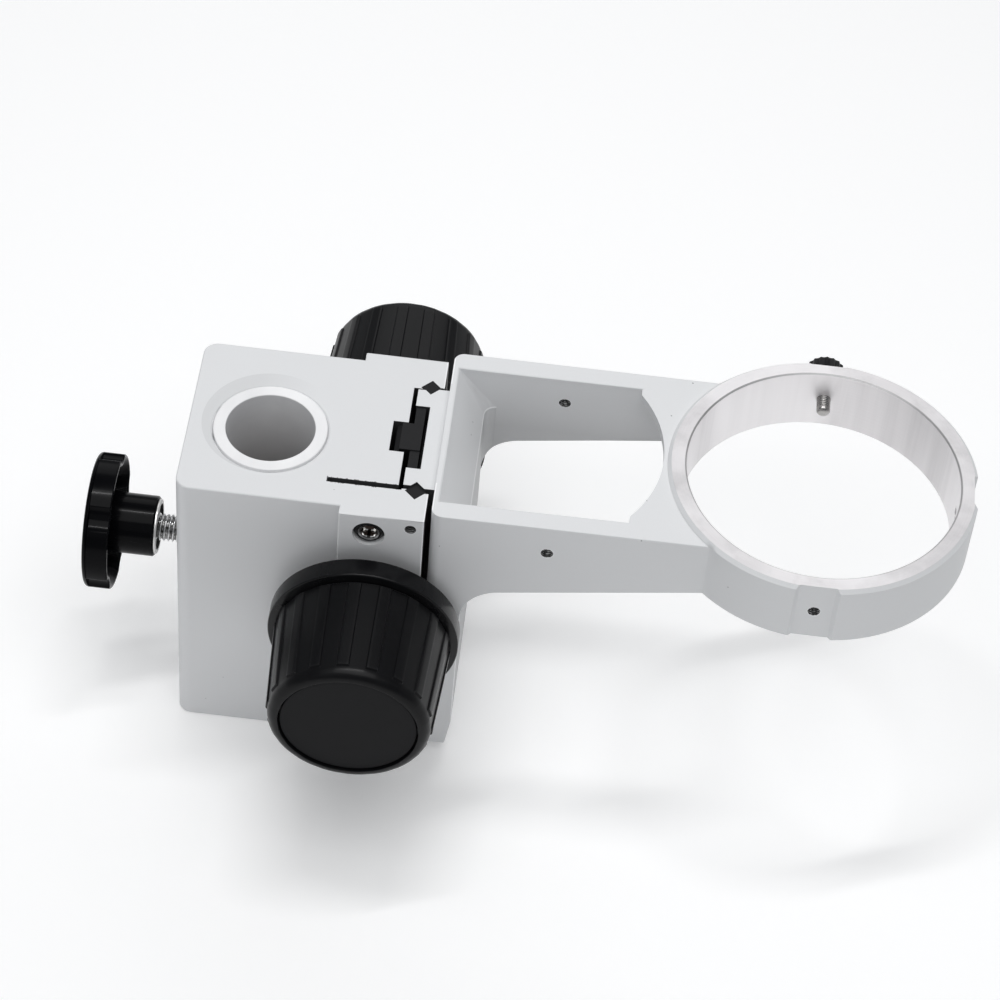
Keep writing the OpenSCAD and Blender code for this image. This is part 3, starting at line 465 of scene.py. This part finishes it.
black = {"knob": (0.0035, 0.0036, 0.0042), "cap": (0.0085, 0.0086, 0.0095), "gloss": (0.0020, 0.0021, 0.0027),
    "oxide": (0.012, 0.012, 0.013)}
finish = {
    "paint": housingPaint("housingPaint"),
    "armPaint": armPaint("armPaintAndBareRing"),
    "bush": bushPlastic("whiteBush"),
    "knob": mouldedPlastic("knobPlastic", black["knob"], 0.31, 0.000012, 0.14, 0.03),
    "cap": mouldedPlastic("capPlastic", black["cap"], 0.5, 0.00002, 0.09, edgeSheenAndWear=0.0),
    "collar": mouldedPlastic("collarPlastic", black["knob"], 0.27, 0.000006, 0.16, 0.12),
    "gloss": mouldedPlastic("glossPlastic", black["gloss"], 0.2, 0.0000015, 0.05, 0.035, edgeSheenAndWear=0.0),
    "blackSteel": brushedSteel("blackOxide", black["oxide"], 0.42, (0.2, 1, 1), metallic=0.15, specular=0.2),
    "groundBar": brushedSteel("groundBar", black["oxide"], 0.38, (1, 1, 0.04), metallic=0.15, specular=0.2),
    "brightSteel": brushedSteel("brightSteel", (0.62, 0.62, 0.63), 0.24, (1, 1, 0.1)),
    "clampThread": threadSteel("clampThreadZinc", (0.84, 0.84, 0.85), "x", (0.0, clampZ), 3.4, 3.95),
    "ringThread": threadSteel("ringThreadZinc", (0.42, 0.41, 0.40), "y", (ringAxis["x"], ringAxis["screwZ"]),
        1.62, 1.9, 36.5),
    "insert": insertSteel("lightInsert"),
    "socket": socketSteel("socketScrewSteel"),
    "bronze": brushedSteel("bushBronze", (0.60, 0.44, 0.22), 0.38, (1, 0.1, 1)),
    "washer": mouldedPlastic("washerPlastic", (0.72, 0.72, 0.70), 0.5, 0.00001, 0.5, edgeSheenAndWear=0.0),
    "tip": brushedSteel("brassTip", (0.75, 0.58, 0.26), 0.3, (0.1, 1, 1)),
}
print("stage: materials made")


# Surfaces from grids and profiles

def gridPiece(name, points, closeRows=False, capEnds=False):
    # A surface through a grid of points, rows by columns. Columns close round, rows close if asked, and caps close
    # the first and last row with one flat face.
    rows, cols = points.shape[:2]
    index = np.arange(rows * cols).reshape(rows, cols)
    nextRow = np.roll(index, -1, axis=0) if closeRows else index[1:]
    thisRow = index if closeRows else index[:-1]
    quads = np.stack([thisRow, np.roll(thisRow, -1, axis=1), np.roll(nextRow, -1, axis=1), nextRow], axis=-1)
    faces = quads.reshape(-1, 4).tolist()
    if capEnds:
        faces += [index[0, ::-1].tolist(), index[-1].tolist()]
    mesh = bpy.data.meshes.new(name)
    mesh.from_pydata((points.reshape(-1, 3) * mm).tolist(), [], faces)
    tidy = bmesh.new()
    tidy.from_mesh(mesh)
    bmesh.ops.remove_doubles(tidy, verts=tidy.verts, dist=1e-7)
    bmesh.ops.dissolve_degenerate(tidy, edges=tidy.edges, dist=1e-8)
    bmesh.ops.recalc_face_normals(tidy, faces=tidy.faces)
    tidy.to_mesh(mesh)
    tidy.free()
    return placed(name, mesh)


def placed(name, mesh):
    piece = bpy.data.objects.new(name, mesh)
    bpy.context.scene.collection.objects.link(piece)
    return piece


def merged(name, pieces):
    whole = bmesh.new()
    for piece in pieces:
        whole.from_mesh(piece.data)
        bpy.data.objects.remove(piece)
    mesh = bpy.data.meshes.new(name)
    whole.to_mesh(mesh)
    whole.free()
    return placed(name, mesh)


def settle(piece, body, material, slot, *replaced, angle=32):
    # gives a finished piece its surface and shading, and fixes it to the body that carries it
    piece.data.materials.clear()
    piece.data.materials.append(finish[material])
    piece.data.shade_smooth()
    piece.data.set_sharp_from_angle(angle=math.radians(angle))
    if replaced:
        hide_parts(*replaced)
    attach(piece, body)


def roundedProfile(corners):
    # a line of (radius, along, rounding) corners; each rounded corner is an arc tangent to both of its sides
    corners = np.array(corners, float)
    line = []
    for i, (r, t, rounding) in enumerate(corners):
        here = np.array([r, t])
        if rounding <= 0 or i in (0, len(corners) - 1):
            line.append(here)
            continue
        back, ahead = corners[i - 1, :2] - here, corners[i + 1, :2] - here
        back, ahead = back / np.linalg.norm(back), ahead / np.linalg.norm(ahead)
        half = math.acos(np.clip(back @ ahead, -1, 1)) / 2
        reach = rounding / math.tan(half)
        middle = here + (back + ahead) / np.linalg.norm(back + ahead) * rounding / math.sin(half)
        first, last = here + back * reach - middle, here + ahead * reach - middle
        turn = np.linspace(0, 1, 7)[:, None]
        sweep = math.pi - 2 * half
        arc = (np.sin((1 - turn) * sweep) * first + np.sin(turn * sweep) * last) / math.sin(sweep)
        line.extend(middle + arc)
    return np.array(line)


def revolved(profile, angles):
    # local points (across, up, along): the profile's radius turned through the angles
    radius, along = profile[:, 0][:, None], profile[:, 1][:, None]
    return polar(radius, angles, along)


def polar(radius, angles, along):
    # local points from a radius that may change with the angle and along the axis
    return np.stack([radius * np.cos(angles), radius * np.sin(angles), along + 0 * angles], axis=-1)


def fullTurn(count):
    return np.linspace(0, 2 * np.pi, count, endpoint=False)[None, :]


def onShaft(local, side):
    # along the pinion shaft, outwards to the front (-1) or the back (1)
    across, up, along = local[..., 0], local[..., 1], local[..., 2]
    return np.stack([shaftAxis["x"] + across, guideY + side * along, shaftAxis["z"] + up], axis=-1)


def onClamp(local):
    # along the clamp screw, outwards from the column
    return np.stack([-local[..., 2], local[..., 0], clampZ + local[..., 1]], axis=-1)


def onRingScrew(local):
    # along the ring screw, outwards from the ring's axis
    across, up, along = local[..., 0], local[..., 1], local[..., 2]
    return np.stack([ringAxis["x"] + across, guideY + along, ringAxis["screwZ"] + up], axis=-1)


# angles in degrees, the rest in mm; start and face are measured outwards from the guide's middle plane
knobShape = {"baseRadius": 24.4, "rimRadius": 22.4, "start": 40.5, "face": 72.4, "rimRounding": 2.9, "bore": 4.1,
    "capRadius": 19.15, "capLead": 0.25, "seat": 69.8, "chamfer": 0.6, "ribHeight": 0.5, "ribCount": 18,
    "ribWidth": 7.8, "firstRib": 96.0, "ribStart": 41.2, "ribEnd": 69.2, "ribSlope": 0.35}


def ribbedKnob(side):
    # radius = tapered shell + rib height inside each rib's angle and length; the ribs' sides are steep
    k = knobShape
    shell = roundedProfile([
        (k["bore"], k["start"], 0), (k["baseRadius"] - k["chamfer"], k["start"], 0),
        (k["baseRadius"], k["start"] + k["chamfer"], 0), (k["rimRadius"], k["face"], k["rimRounding"]),
        (k["capRadius"] + k["capLead"], k["face"], 0.12), (k["capRadius"], k["seat"], 0), (0.001, k["seat"], 0)])
    outside = int(np.argmax(shell[:, 0] >= k["baseRadius"] - 1e-6))
    body = np.linspace(0, 1, 40)[1:-1]
    after = shell[outside + 1]
    ends = [k["ribStart"], k["ribStart"] + k["ribSlope"], k["ribEnd"] - k["ribSlope"], k["ribEnd"]]
    stations = np.sort(np.concatenate([shell[outside, 1] + body * (after[1] - shell[outside, 1]), ends]))
    taper = (after[0] - shell[outside, 0]) / (after[1] - shell[outside, 1])
    wall = np.stack([shell[outside, 0] + taper * (stations - shell[outside, 1]), stations], axis=1)
    profile = np.concatenate([shell[:outside + 1], wall, shell[outside + 1:]])
    pitch, half = 360 / k["ribCount"], k["ribWidth"] / 2
    offsets = np.array([-half - 0.5, -half + 0.1, -half + 0.9, -half / 2, 0, half / 2, half - 0.9, half - 0.1,
        half + 0.5, half + 2.5])
    centres = k["firstRib"] + pitch * np.arange(k["ribCount"])
    angles = np.radians((centres[:, None] + offsets).reshape(1, -1))
    flank = np.interp(np.abs(offsets), [half - 0.9, half - 0.1, half + 0.5], [1, 0.86, 0])
    across = np.tile(flank, k["ribCount"])[None, :]
    along = np.interp(profile[:, 1], ends, [0, 1, 1, 0])[:, None]
    row = np.arange(len(profile))[:, None]
    onWall = (row > outside - 1) & (row <= outside + len(wall) + 1)
    local = revolved(profile, angles)
    rise = k["ribHeight"] * across * along * onWall
    local[..., 0] += rise * np.cos(angles)
    local[..., 1] += rise * np.sin(angles)
    return gridPiece("ribbedKnob" + ("Front" if side < 0 else "Back"), onShaft(local, side), capEnds=True)


collarShape = {"bore": 4.05, "radius": 26.8, "inner": 34.4, "outer": 40.4, "innerRounding": 0.5, "rounding": 0.45}
capShape = {"radius": 18.9, "back": 69.9, "front": 71.75, "rounding": 0.25, "border": 1.2}


def collar(name, side):
    # a plain disc with rounded edges round the shaft
    c = collarShape
    line = roundedProfile([(c["bore"], c["inner"], 0), (c["radius"], c["inner"], c["innerRounding"]),
        (c["radius"], c["outer"], c["rounding"]), (c["bore"], c["outer"], 0)])
    return gridPiece(name, onShaft(revolved(line, fullTurn(160)), side), closeRows=True)


def cap(name, side):
    # a flat disc in the knob's recess
    c = capShape
    line = roundedProfile([(0.001, c["back"], 0), (c["radius"], c["back"], 0),
        (c["radius"], c["front"], c["rounding"]), (c["radius"] - c["border"], c["front"], 0),
        (0.001, c["front"], 0)])
    return gridPiece(name, onShaft(revolved(line, fullTurn(128)), side), capEnds=True)


for side, end in ((-1, "front"), (1, "back")):
    settle(ribbedKnob(side), "knob_shaft", "knob", "black_plastic", end + "_knob", angle=28)
    settle(collar("knobCollar" + end.capitalize(), side), "knob_shaft", "collar", "gloss_black",
        end + "_knob_collar")
    settle(cap("knobCap" + end.capitalize(), side), "knob_shaft", "cap", "black_plastic", end + "_knob_cap")
print("stage: focus knobs made")


# the clamp knob's sizes across its axis, and rimStart to crown along it, outwards from the column
lobed = {"radius": 19.6, "lobes": 5, "phase": 131.0, "notchRadius": 5.5, "notchDepth": 1.65, "sharpness": 30.0,
    "rimStart": 43.8, "rimEnd": 51.2, "skin": 2.7, "webDepth": 5.0, "hubRadius": 8.8, "hubStart": 32.4,
    "hubFace": 1.5, "hubChamfer": 0.5, "edge": 1.1, "backSkin": 1.1, "crown": 0.6}


def lobedRadius(angles, inset):
    # the knob's outline: a circle cut by five round notches, moved inwards by inset
    s = lobed
    pitch = 2 * np.pi / s["lobes"]
    away = (angles - math.radians(s["phase"]) + pitch / 2) % pitch - pitch / 2
    centre, cut = s["radius"] + s["notchRadius"] - s["notchDepth"], s["notchRadius"] + inset
    under = cut ** 2 - (centre * np.sin(away)) ** 2
    notch = np.where(under > 0, centre * np.cos(away) - np.sqrt(np.maximum(under, 0)), 1e3)
    plain = s["radius"] - inset + 0 * angles
    least = np.minimum(notch, plain)
    return least - np.log(np.exp(-s["sharpness"] * (np.minimum(notch, 60) - least))
        + np.exp(-s["sharpness"] * (plain - least))) / s["sharpness"]


def clampKnob():
    # Rows run from the hub's face, along the hub, out under the hollow back, round the lobed rim, onto the plain
    # disc in front of the notches and over its crowned face.
    s = lobed
    angles = fullTurn(720)
    web = s["rimStart"] + s["webDepth"]
    hub = [(s["hubRadius"] - s["hubFace"], s["hubStart"]), (s["hubRadius"] - s["hubChamfer"], s["hubStart"]),
        (s["hubRadius"], s["hubStart"] + s["hubChamfer"]), (s["hubRadius"], web - 0.8), (s["hubRadius"] + 0.8, web)]
    rings = [(np.full_like(angles, r), t) for r, t in hub]
    inner = lobedRadius(angles, s["skin"])
    rings += [(inner - 0.8, web), (inner - 0.1, web - 0.8),
        (lobedRadius(angles, s["backSkin"]), s["rimStart"] + 0.3),
        (lobedRadius(angles, s["backSkin"] - 0.3), s["rimStart"])]
    notchEnd = s["rimEnd"] - s["edge"]
    rings += [(lobedRadius(angles, 0.35), s["rimStart"]), (lobedRadius(angles, 0.0), s["rimStart"] + 0.35),
        (lobedRadius(angles, 0.0), notchEnd - 0.25), (s["radius"] - 0.15 + 0 * angles, notchEnd - 0.1)]
    for turn in np.linspace(0, np.pi / 2, 9):
        rounded = s["radius"] - s["edge"] * (1 - math.cos(turn)) + 0 * angles
        rings.append((rounded, s["rimEnd"] - s["edge"] * (1 - math.sin(turn))))
    face = s["radius"] - s["edge"] + 0 * angles
    for part in (0.93, 0.83, 0.7, 0.56, 0.42, 0.28, 0.14, 0.0001):
        rings.append((face * part, s["rimEnd"] + s["crown"] * (1 - part ** 2)))
    radius = np.stack([r[0] for r, _ in rings])
    along = np.array([t for _, t in rings])[:, None]
    return gridPiece("lobedClampKnob", onClamp(polar(radius, angles, along)), capEnds=True)


def threadWave(along, pitch, angles):
    # 0 on the crests and 1 in the roots: a flattened triangle wave of (along / pitch - angle / turn)
    phase = (along / pitch - angles / (2 * np.pi)) % 1
    return np.clip(np.abs(2 * phase - 1) * 1.35 - 0.175, 0, 1)


clampRod = {"radius": 4.0, "pitch": 1.25, "depth": 0.68, "start": 15.45, "stop": 47.5, "chamfer": 0.9}


def clampThread():
    # radius = rod less the thread's depth by the wave, and cut by a chamfer at both ends
    s = clampRod
    angles = fullTurn(72)
    along = np.arange(s["start"], s["stop"] + 1e-6, s["pitch"] / 16)[:, None]
    r = s["radius"] - s["depth"] * threadWave(along, s["pitch"], angles)
    r = np.minimum(r, s["radius"] - s["chamfer"] + (along - s["start"]))
    r = np.minimum(r, s["radius"] - s["chamfer"] + (s["stop"] - along))
    return gridPiece("clampThread", onClamp(polar(r, angles, along)), capEnds=True)


insertShape = {"bore": 4.02, "outer": 7.2, "flange": 8.0, "start": 31.8, "flangeEnd": 32.45, "end": 47.7,
    "hollow": 6.7, "hollowFloor": 34.4, "boreStart": 35.0}


def clampInsert():
    # a sleeve with a flange, hollow round the screw at its open end
    s = insertShape
    line = roundedProfile([(s["bore"], s["boreStart"], 0), (s["hollow"], s["hollowFloor"], 0),
        (s["hollow"], s["start"], 0.1), (s["flange"], s["start"], 0.3), (s["flange"], s["flangeEnd"], 0),
        (s["outer"], s["flangeEnd"], 0), (s["outer"], s["end"], 0), (s["bore"], s["end"], 0)])
    return gridPiece("clampInsert", onClamp(revolved(line, fullTurn(96))), closeRows=True)


settle(clampKnob(), "clamp_screw", "gloss", "gloss_black", "clamp_knob", angle=40)
settle(clampThread(), "clamp_screw", "clampThread", "bright_steel", "clamp_stud", angle=60)
settle(clampInsert(), "clamp_screw", "insert", "bright_steel", "clamp_insert")
print("stage: column clamp made")


# along the ring screw, all places are measured outwards from the guide's middle plane
ringScrew = {"radius": 2.0, "pitch": 0.7, "depth": 0.3, "tip": 32.5, "domeLength": 1.3, "runIn": 0.6,
    "headStart": 45.3, "headEnd": 50.3, "headRadius": 5.6, "bore": 2.05, "edge": 0.6, "scallops": 18,
    "scallopDepth": 0.42, "dimple": (3.4, 3.1), "dimpleDepth": 0.35}


def knurledHead():
    # radius = head less a scallop of |cos| of the angle, fading at both bevelled ends
    s = ringScrew
    angles = fullTurn(s["scallops"] * 12)
    scallop = s["scallopDepth"] * np.abs(np.cos(angles * s["scallops"] / 2)) ** 1.5
    floor = s["headEnd"] - s["dimpleDepth"]
    line = roundedProfile([(s["bore"], s["headStart"], 0), (s["headRadius"], s["headStart"], s["edge"]),
        (s["headRadius"], s["headEnd"], s["edge"]), (s["dimple"][0], s["headEnd"], 0.1),
        (s["dimple"][1], floor, 0.1), (0.001, floor, 0)])
    line = np.concatenate([line[:1], np.linspace(line[0], line[1], 3)[1:-1], line[1:]])
    local = revolved(line, angles)
    weight = np.interp(line[:, 0], [s["headRadius"] - 0.7, s["headRadius"] - 0.1], [0, 1])[:, None]
    local[..., 0] -= weight * scallop * np.cos(angles)
    local[..., 1] -= weight * scallop * np.sin(angles)
    return gridPiece("knurledRingScrewHead", onRingScrew(local), capEnds=True)


def ringStud():
    # a threaded rod with a domed tip: radius = the dome's near its end, and the thread's after it
    s = ringScrew
    angles = fullTurn(64)
    rounding = s["domeLength"] * (1 - np.cos(np.linspace(0, np.pi / 2, 10)[:-1]))
    thread = np.arange(s["tip"] + s["domeLength"], s["headStart"] + 1.0, s["pitch"] / 14)
    along = np.concatenate([s["tip"] + rounding, thread])[:, None]
    toEnd = 1 - np.clip((along - s["tip"]) / s["domeLength"], 0, 1)
    dome = (s["radius"] - 0.05) * np.sqrt(np.clip(1 - toEnd ** 2, 1e-6, 1))
    threadOn = np.clip((along - s["tip"] - s["domeLength"]) / s["runIn"], 0, 1)
    r = np.minimum(dome, s["radius"] - s["depth"] * threadWave(along, s["pitch"], angles) * threadOn)
    return gridPiece("ringScrewStud", onRingScrew(polar(r, angles, along)), capEnds=True)


settle(knurledHead(), "ring_head", "blackSteel", "black_steel", "ring_screw_head", angle=35)
settle(ringStud(), "ring_stud", "ringThread", "bright_steel", "ring_screw_stud", angle=50)
print("stage: ring screw made")


bushShape = {"outer": 15.95, "inner": 12.5, "top": 99.5, "lip": 0.15, "edge": 0.35, "footChamfer": 0.5, "waist": 60}


def reducerBush():
    # a sleeve that stands half a millimetre proud, with a thin lip round its bore
    b = bushShape
    line = roundedProfile([(b["inner"], 0, 0), (b["outer"] - b["footChamfer"], 0, 0),
        (b["outer"], b["footChamfer"], 0), (b["outer"], b["top"], b["edge"]), (b["inner"] + b["lip"], b["top"], 0),
        (b["inner"], b["top"] - b["lip"], 0), (b["inner"], b["waist"], 0)])
    return gridPiece("reducerBush", revolved(line, fullTurn(192)), closeRows=True)


settle(reducerBush(), "housing", "bush", "white_bush", "reducer_bush")


def softened(node, width, keep):
    # a copy of a CAD node with its chosen outer edges rounded; keep(middle, length) picks edges by place, in mm
    mesh = nodes[node].data.copy()
    shape = bmesh.new()
    shape.from_mesh(mesh)
    bmesh.ops.remove_doubles(shape, verts=shape.verts, dist=1e-6)
    bmesh.ops.dissolve_limit(shape, angle_limit=math.radians(0.4), verts=shape.verts, edges=shape.edges)
    layers = shape.edges.layers.float
    weight = layers.get("bevel_weight_edge") or layers.new("bevel_weight_edge")
    for edge in shape.edges:
        if edge.is_manifold and edge.is_convex and edge.calc_face_angle() > math.radians(22):
            middle = (edge.verts[0].co + edge.verts[1].co) / 2 / mm
            edge[weight] = 1.0 if keep(middle, edge.calc_length() / mm) else 0.0
    shape.to_mesh(mesh)
    shape.free()
    words = node.split("_")
    piece = placed(words[0] + "".join(word.capitalize() for word in words[1:]) + "Soft", mesh)
    rounding = piece.modifiers.new("softEdges", "BEVEL")
    rounding.limit_method = "WEIGHT"
    rounding.width = width * mm
    rounding.segments = 2
    rounding.use_clamp_overlap = False
    shading = piece.modifiers.new("flatFacesFlat", "WEIGHTED_NORMAL")
    shading.keep_sharp = True
    return piece


# the edges that are rounded: outside the bore, outside the channel, and long or at the back
housingShape = {"soft": 0.35, "top": 99.0, "backX": -18.5, "boreClear": 18.0, "channelX": 16.0, "channelHalf": 26.0,
    "uprightX": 20.0, "uprightLength": 20.0, "longEnough": 3.0}
armShape = {"soft": 0.35, "plateX": 47.7, "ringClear": 44.3, "longEnough": 2.5}


def housingEdge(middle, length):
    h = housingShape
    x, y, z = middle
    inChannel = x > h["channelX"] and abs(y - guideY) < h["channelHalf"]
    level = min(abs(z), abs(z - h["top"])) < 0.05
    upright = x > h["uprightX"] and length > h["uprightLength"]
    atBore = math.hypot(x, y) < h["boreClear"]
    return not atBore and not inChannel and (level or upright) and (length > h["longEnough"] or x < h["backX"])


def armEdge(middle, length):
    a = armShape
    x, y, z = middle
    atRing = math.hypot(x - ringAxis["x"], y - guideY) < a["ringClear"]
    return x > a["plateX"] and not atRing and length > a["longEnough"]


settle(softened("focus_housing", housingShape["soft"], housingEdge), "housing", "paint", "light_paint",
    "focus_housing", angle=30)
settle(softened("arm_casting", armShape["soft"], armEdge), "arm", "armPaint", "light_paint",
    "arm_casting", angle=20)

windowCorner = {"topX": 49.5, "topZ": 102.6, "footX": 57.8, "footZ": 87.5, "half": 25.5, "draft": 2.8,
    "radius": 3.5, "sunk": 0.1}


def cornerBlend(side):
    # Radius grows in line with the depth below the top. Each row is a level arc that touches the leaning wall and
    # the side wall, closed by three points just inside the metal.
    c = windowCorner
    down = np.linspace(0.001, 1, 14)[:, None]
    level = c["topZ"] + down * (c["footZ"] - c["topZ"])
    wallX = c["topX"] + down * (c["footX"] - c["topX"])
    wallY = c["half"] + (c["topZ"] - level) * math.tan(math.radians(c["draft"]))
    radius = c["radius"] * down
    turn = np.linspace(0, np.pi / 2, 13)[None, :]
    across = np.concatenate([wallX + radius * (1 - np.sin(turn)), wallX - c["sunk"], wallX - c["sunk"],
        wallX + radius], axis=1)
    aside = np.concatenate([wallY - radius * (1 - np.cos(turn)), wallY - radius, wallY + c["sunk"],
        wallY + c["sunk"]], axis=1)
    points = np.stack([across, guideY + side * aside, level + 0 * across], axis=-1)
    return gridPiece("windowCorner", points, capEnds=True)


settle(merged("windowCorners", [cornerBlend(-1), cornerBlend(1)]), "arm", "armPaint", "light_paint", angle=20)
print("stage: castings made")


jawScrew = {"x": 31.2, "levels": (7.1, 91.9), "start": 8.975, "shank": 2.5, "seat": 25.5, "head": 4.25,
    "face": 30.4, "edge": 0.9, "socket": 2.0, "depth": 2.6, "drillPoint": 0.6,
    "sink": ((2.95, 0.0), (2.6, 0.3)), "sinkEnd": 0.6}


def socketScrew(level):
    # radius = the profile's, and in the socket that of a hexagon: half its width over cos of the angle from its
    # nearest flat
    s = jawScrew
    angles = fullTurn(144)
    hexagon = s["socket"] / np.cos(angles % (np.pi / 3) - np.pi / 6)
    rows = [(0.001, s["start"]), (s["shank"], s["start"]), (s["shank"], s["seat"]), (s["head"], s["seat"]),
        (s["head"], s["face"] - s["edge"]), (s["head"] - s["edge"], s["face"])]
    rows += [(r, s["face"] - down) for r, down in s["sink"]]
    rows += [(hexagon, s["face"] - s["sinkEnd"]), (hexagon, s["face"] - s["depth"]),
        (0.001, s["face"] - s["depth"] - s["drillPoint"])]
    radius = np.stack([(r + 0 * angles)[0] for r, _ in rows])
    along = np.array([t for _, t in rows])[:, None] + 0 * angles
    points = np.stack([s["x"] + radius * np.cos(angles), guideY - along, level + radius * np.sin(angles)], axis=-1)
    return gridPiece("socketScrew", points, capEnds=True)


settle(merged("jawSocketScrews", [socketScrew(level) for level in jawScrew["levels"]]), "housing", "socket",
    "bright_steel", "jaw_screws", angle=25)

kept = {
    "front_guide_bar": "groundBar", "back_guide_bar": "groundBar", "bar_set_screws": "blackSteel",
    "rack": "blackSteel", "rack_bar": "blackSteel", "rack_screws": "brightSteel", "pinion_shaft": "brightSteel",
    "friction_washers": "washer", "knob_screws": "brightSteel", "front_shaft_bush": "bronze",
    "back_shaft_bush": "bronze", "clamp_pad": "tip",
}
for node, surface in kept.items():
    nodes[node].data.materials.clear()
    nodes[node].data.materials.append(finish[surface])
print("stage: kept nodes dressed")


studio = {"floor": (0.93, 0.93, 0.93), "floorShade": 0.985, "floorSize": 3.0, "floorZ": -0.0002, "glow": 0.17,
    "world": 0.22, "worldTint": (0.93, 0.96, 1.0), "aim": (0.065, 0.0, 0.07)}
# each soft light's place and size in metres, and its power in watts
lights = {
    "topSoftbox": ((0.05, -0.25, 1.1), (1.1, 0.9), 6.4),
    "topStrip": ((0.0, 0.16, 1.15), (0.5, 0.035), 2.8),
    "backWall": ((0.1, 1.3, 0.9), (1.6, 0.8), 4.4),
    "frontSoftbox": ((-0.45, -0.95, 0.75), (0.8, 0.6), 0.35),
    "sideSoftbox": ((1.1, -0.2, 0.5), (0.5, 0.9), 0.2),
}

floorMesh = bpy.data.meshes.new("floor")
reach, floorZ = studio["floorSize"], studio["floorZ"]
corners = [(-reach, -reach, floorZ), (reach, -reach, floorZ), (reach, reach, floorZ), (-reach, reach, floorZ)]
floorMesh.from_pydata(corners, [], [(0, 1, 2, 3)])
floor = placed("floor", floorMesh)
floorPaint = nodeMaterial("paleFloor", studio["floor"], 0.7)
link(floorPaint, mixColor(floorPaint, noise(floorPaint, objectPlace(floorPaint), 3.0), studio["floor"],
    shaded(studio["floor"], studio["floorShade"])), "Base Color")
floorShader = floorPaint.node_tree.nodes["Principled BSDF"]
floorShader.inputs["Emission Color"].default_value = (1, 1, 1, 1)
floorShader.inputs["Emission Strength"].default_value = studio["glow"]
floorMesh.materials.append(floorPaint)

world = bpy.data.worlds.new("softStudio")
bpy.context.scene.world = world
world.use_nodes = True
world.node_tree.nodes["Background"].inputs["Color"].default_value = (*studio["worldTint"], 1)
world.node_tree.nodes["Background"].inputs["Strength"].default_value = studio["world"]

for name, (place, size, power) in lights.items():
    lamp = bpy.data.lights.new(name, "AREA")
    lamp.shape = "RECTANGLE"
    lamp.size, lamp.size_y = size
    lamp.energy = power
    holder = bpy.data.objects.new(name, lamp)
    holder.location = place
    holder.rotation_mode = "QUATERNION"
    holder.rotation_quaternion = (Vector(studio["aim"]) - Vector(place)).to_track_quat("-Z", "Y")
    bpy.context.scene.collection.objects.link(holder)

# the camera that the photo was fitted with: angles in degrees, distances in metres, lens in mm
view = {"azimuth": -2.690347, "elevation": 47.956119, "roll": 4.583161, "distance": 0.933909,
    "target": (0.055054, 0.002702, 0.076213), "lens": 118.8, "shift": (0.036079, -0.000985), "sensor": 36.0,
    "clip": (0.05, 20.0)}
az, el, roll = (math.radians(view[k]) for k in ("azimuth", "elevation", "roll"))
ahead = Vector((math.sin(az) * math.cos(el), math.cos(az) * math.cos(el), -math.sin(el)))
right = ahead.cross(Vector((0, 0, 1))).normalized()
up = right.cross(ahead)
camRight = math.cos(roll) * right + math.sin(roll) * up
camUp = -math.sin(roll) * right + math.cos(roll) * up
camera = bpy.data.objects.new("camera", bpy.data.cameras.new("camera"))
camera.matrix_world = Matrix.Translation(Vector(view["target"]) - ahead * view["distance"]) @ Matrix(
    (camRight, camUp, -ahead)).transposed().to_4x4()
camera.data.sensor_width, camera.data.lens = view["sensor"], view["lens"]
camera.data.shift_x, camera.data.shift_y = view["shift"]
camera.data.clip_start, camera.data.clip_end = view["clip"]
bpy.context.scene.collection.objects.link(camera)
bpy.context.scene.camera = camera
bpy.context.scene.view_settings.view_transform = "Standard"
print("stage: studio and camera set")
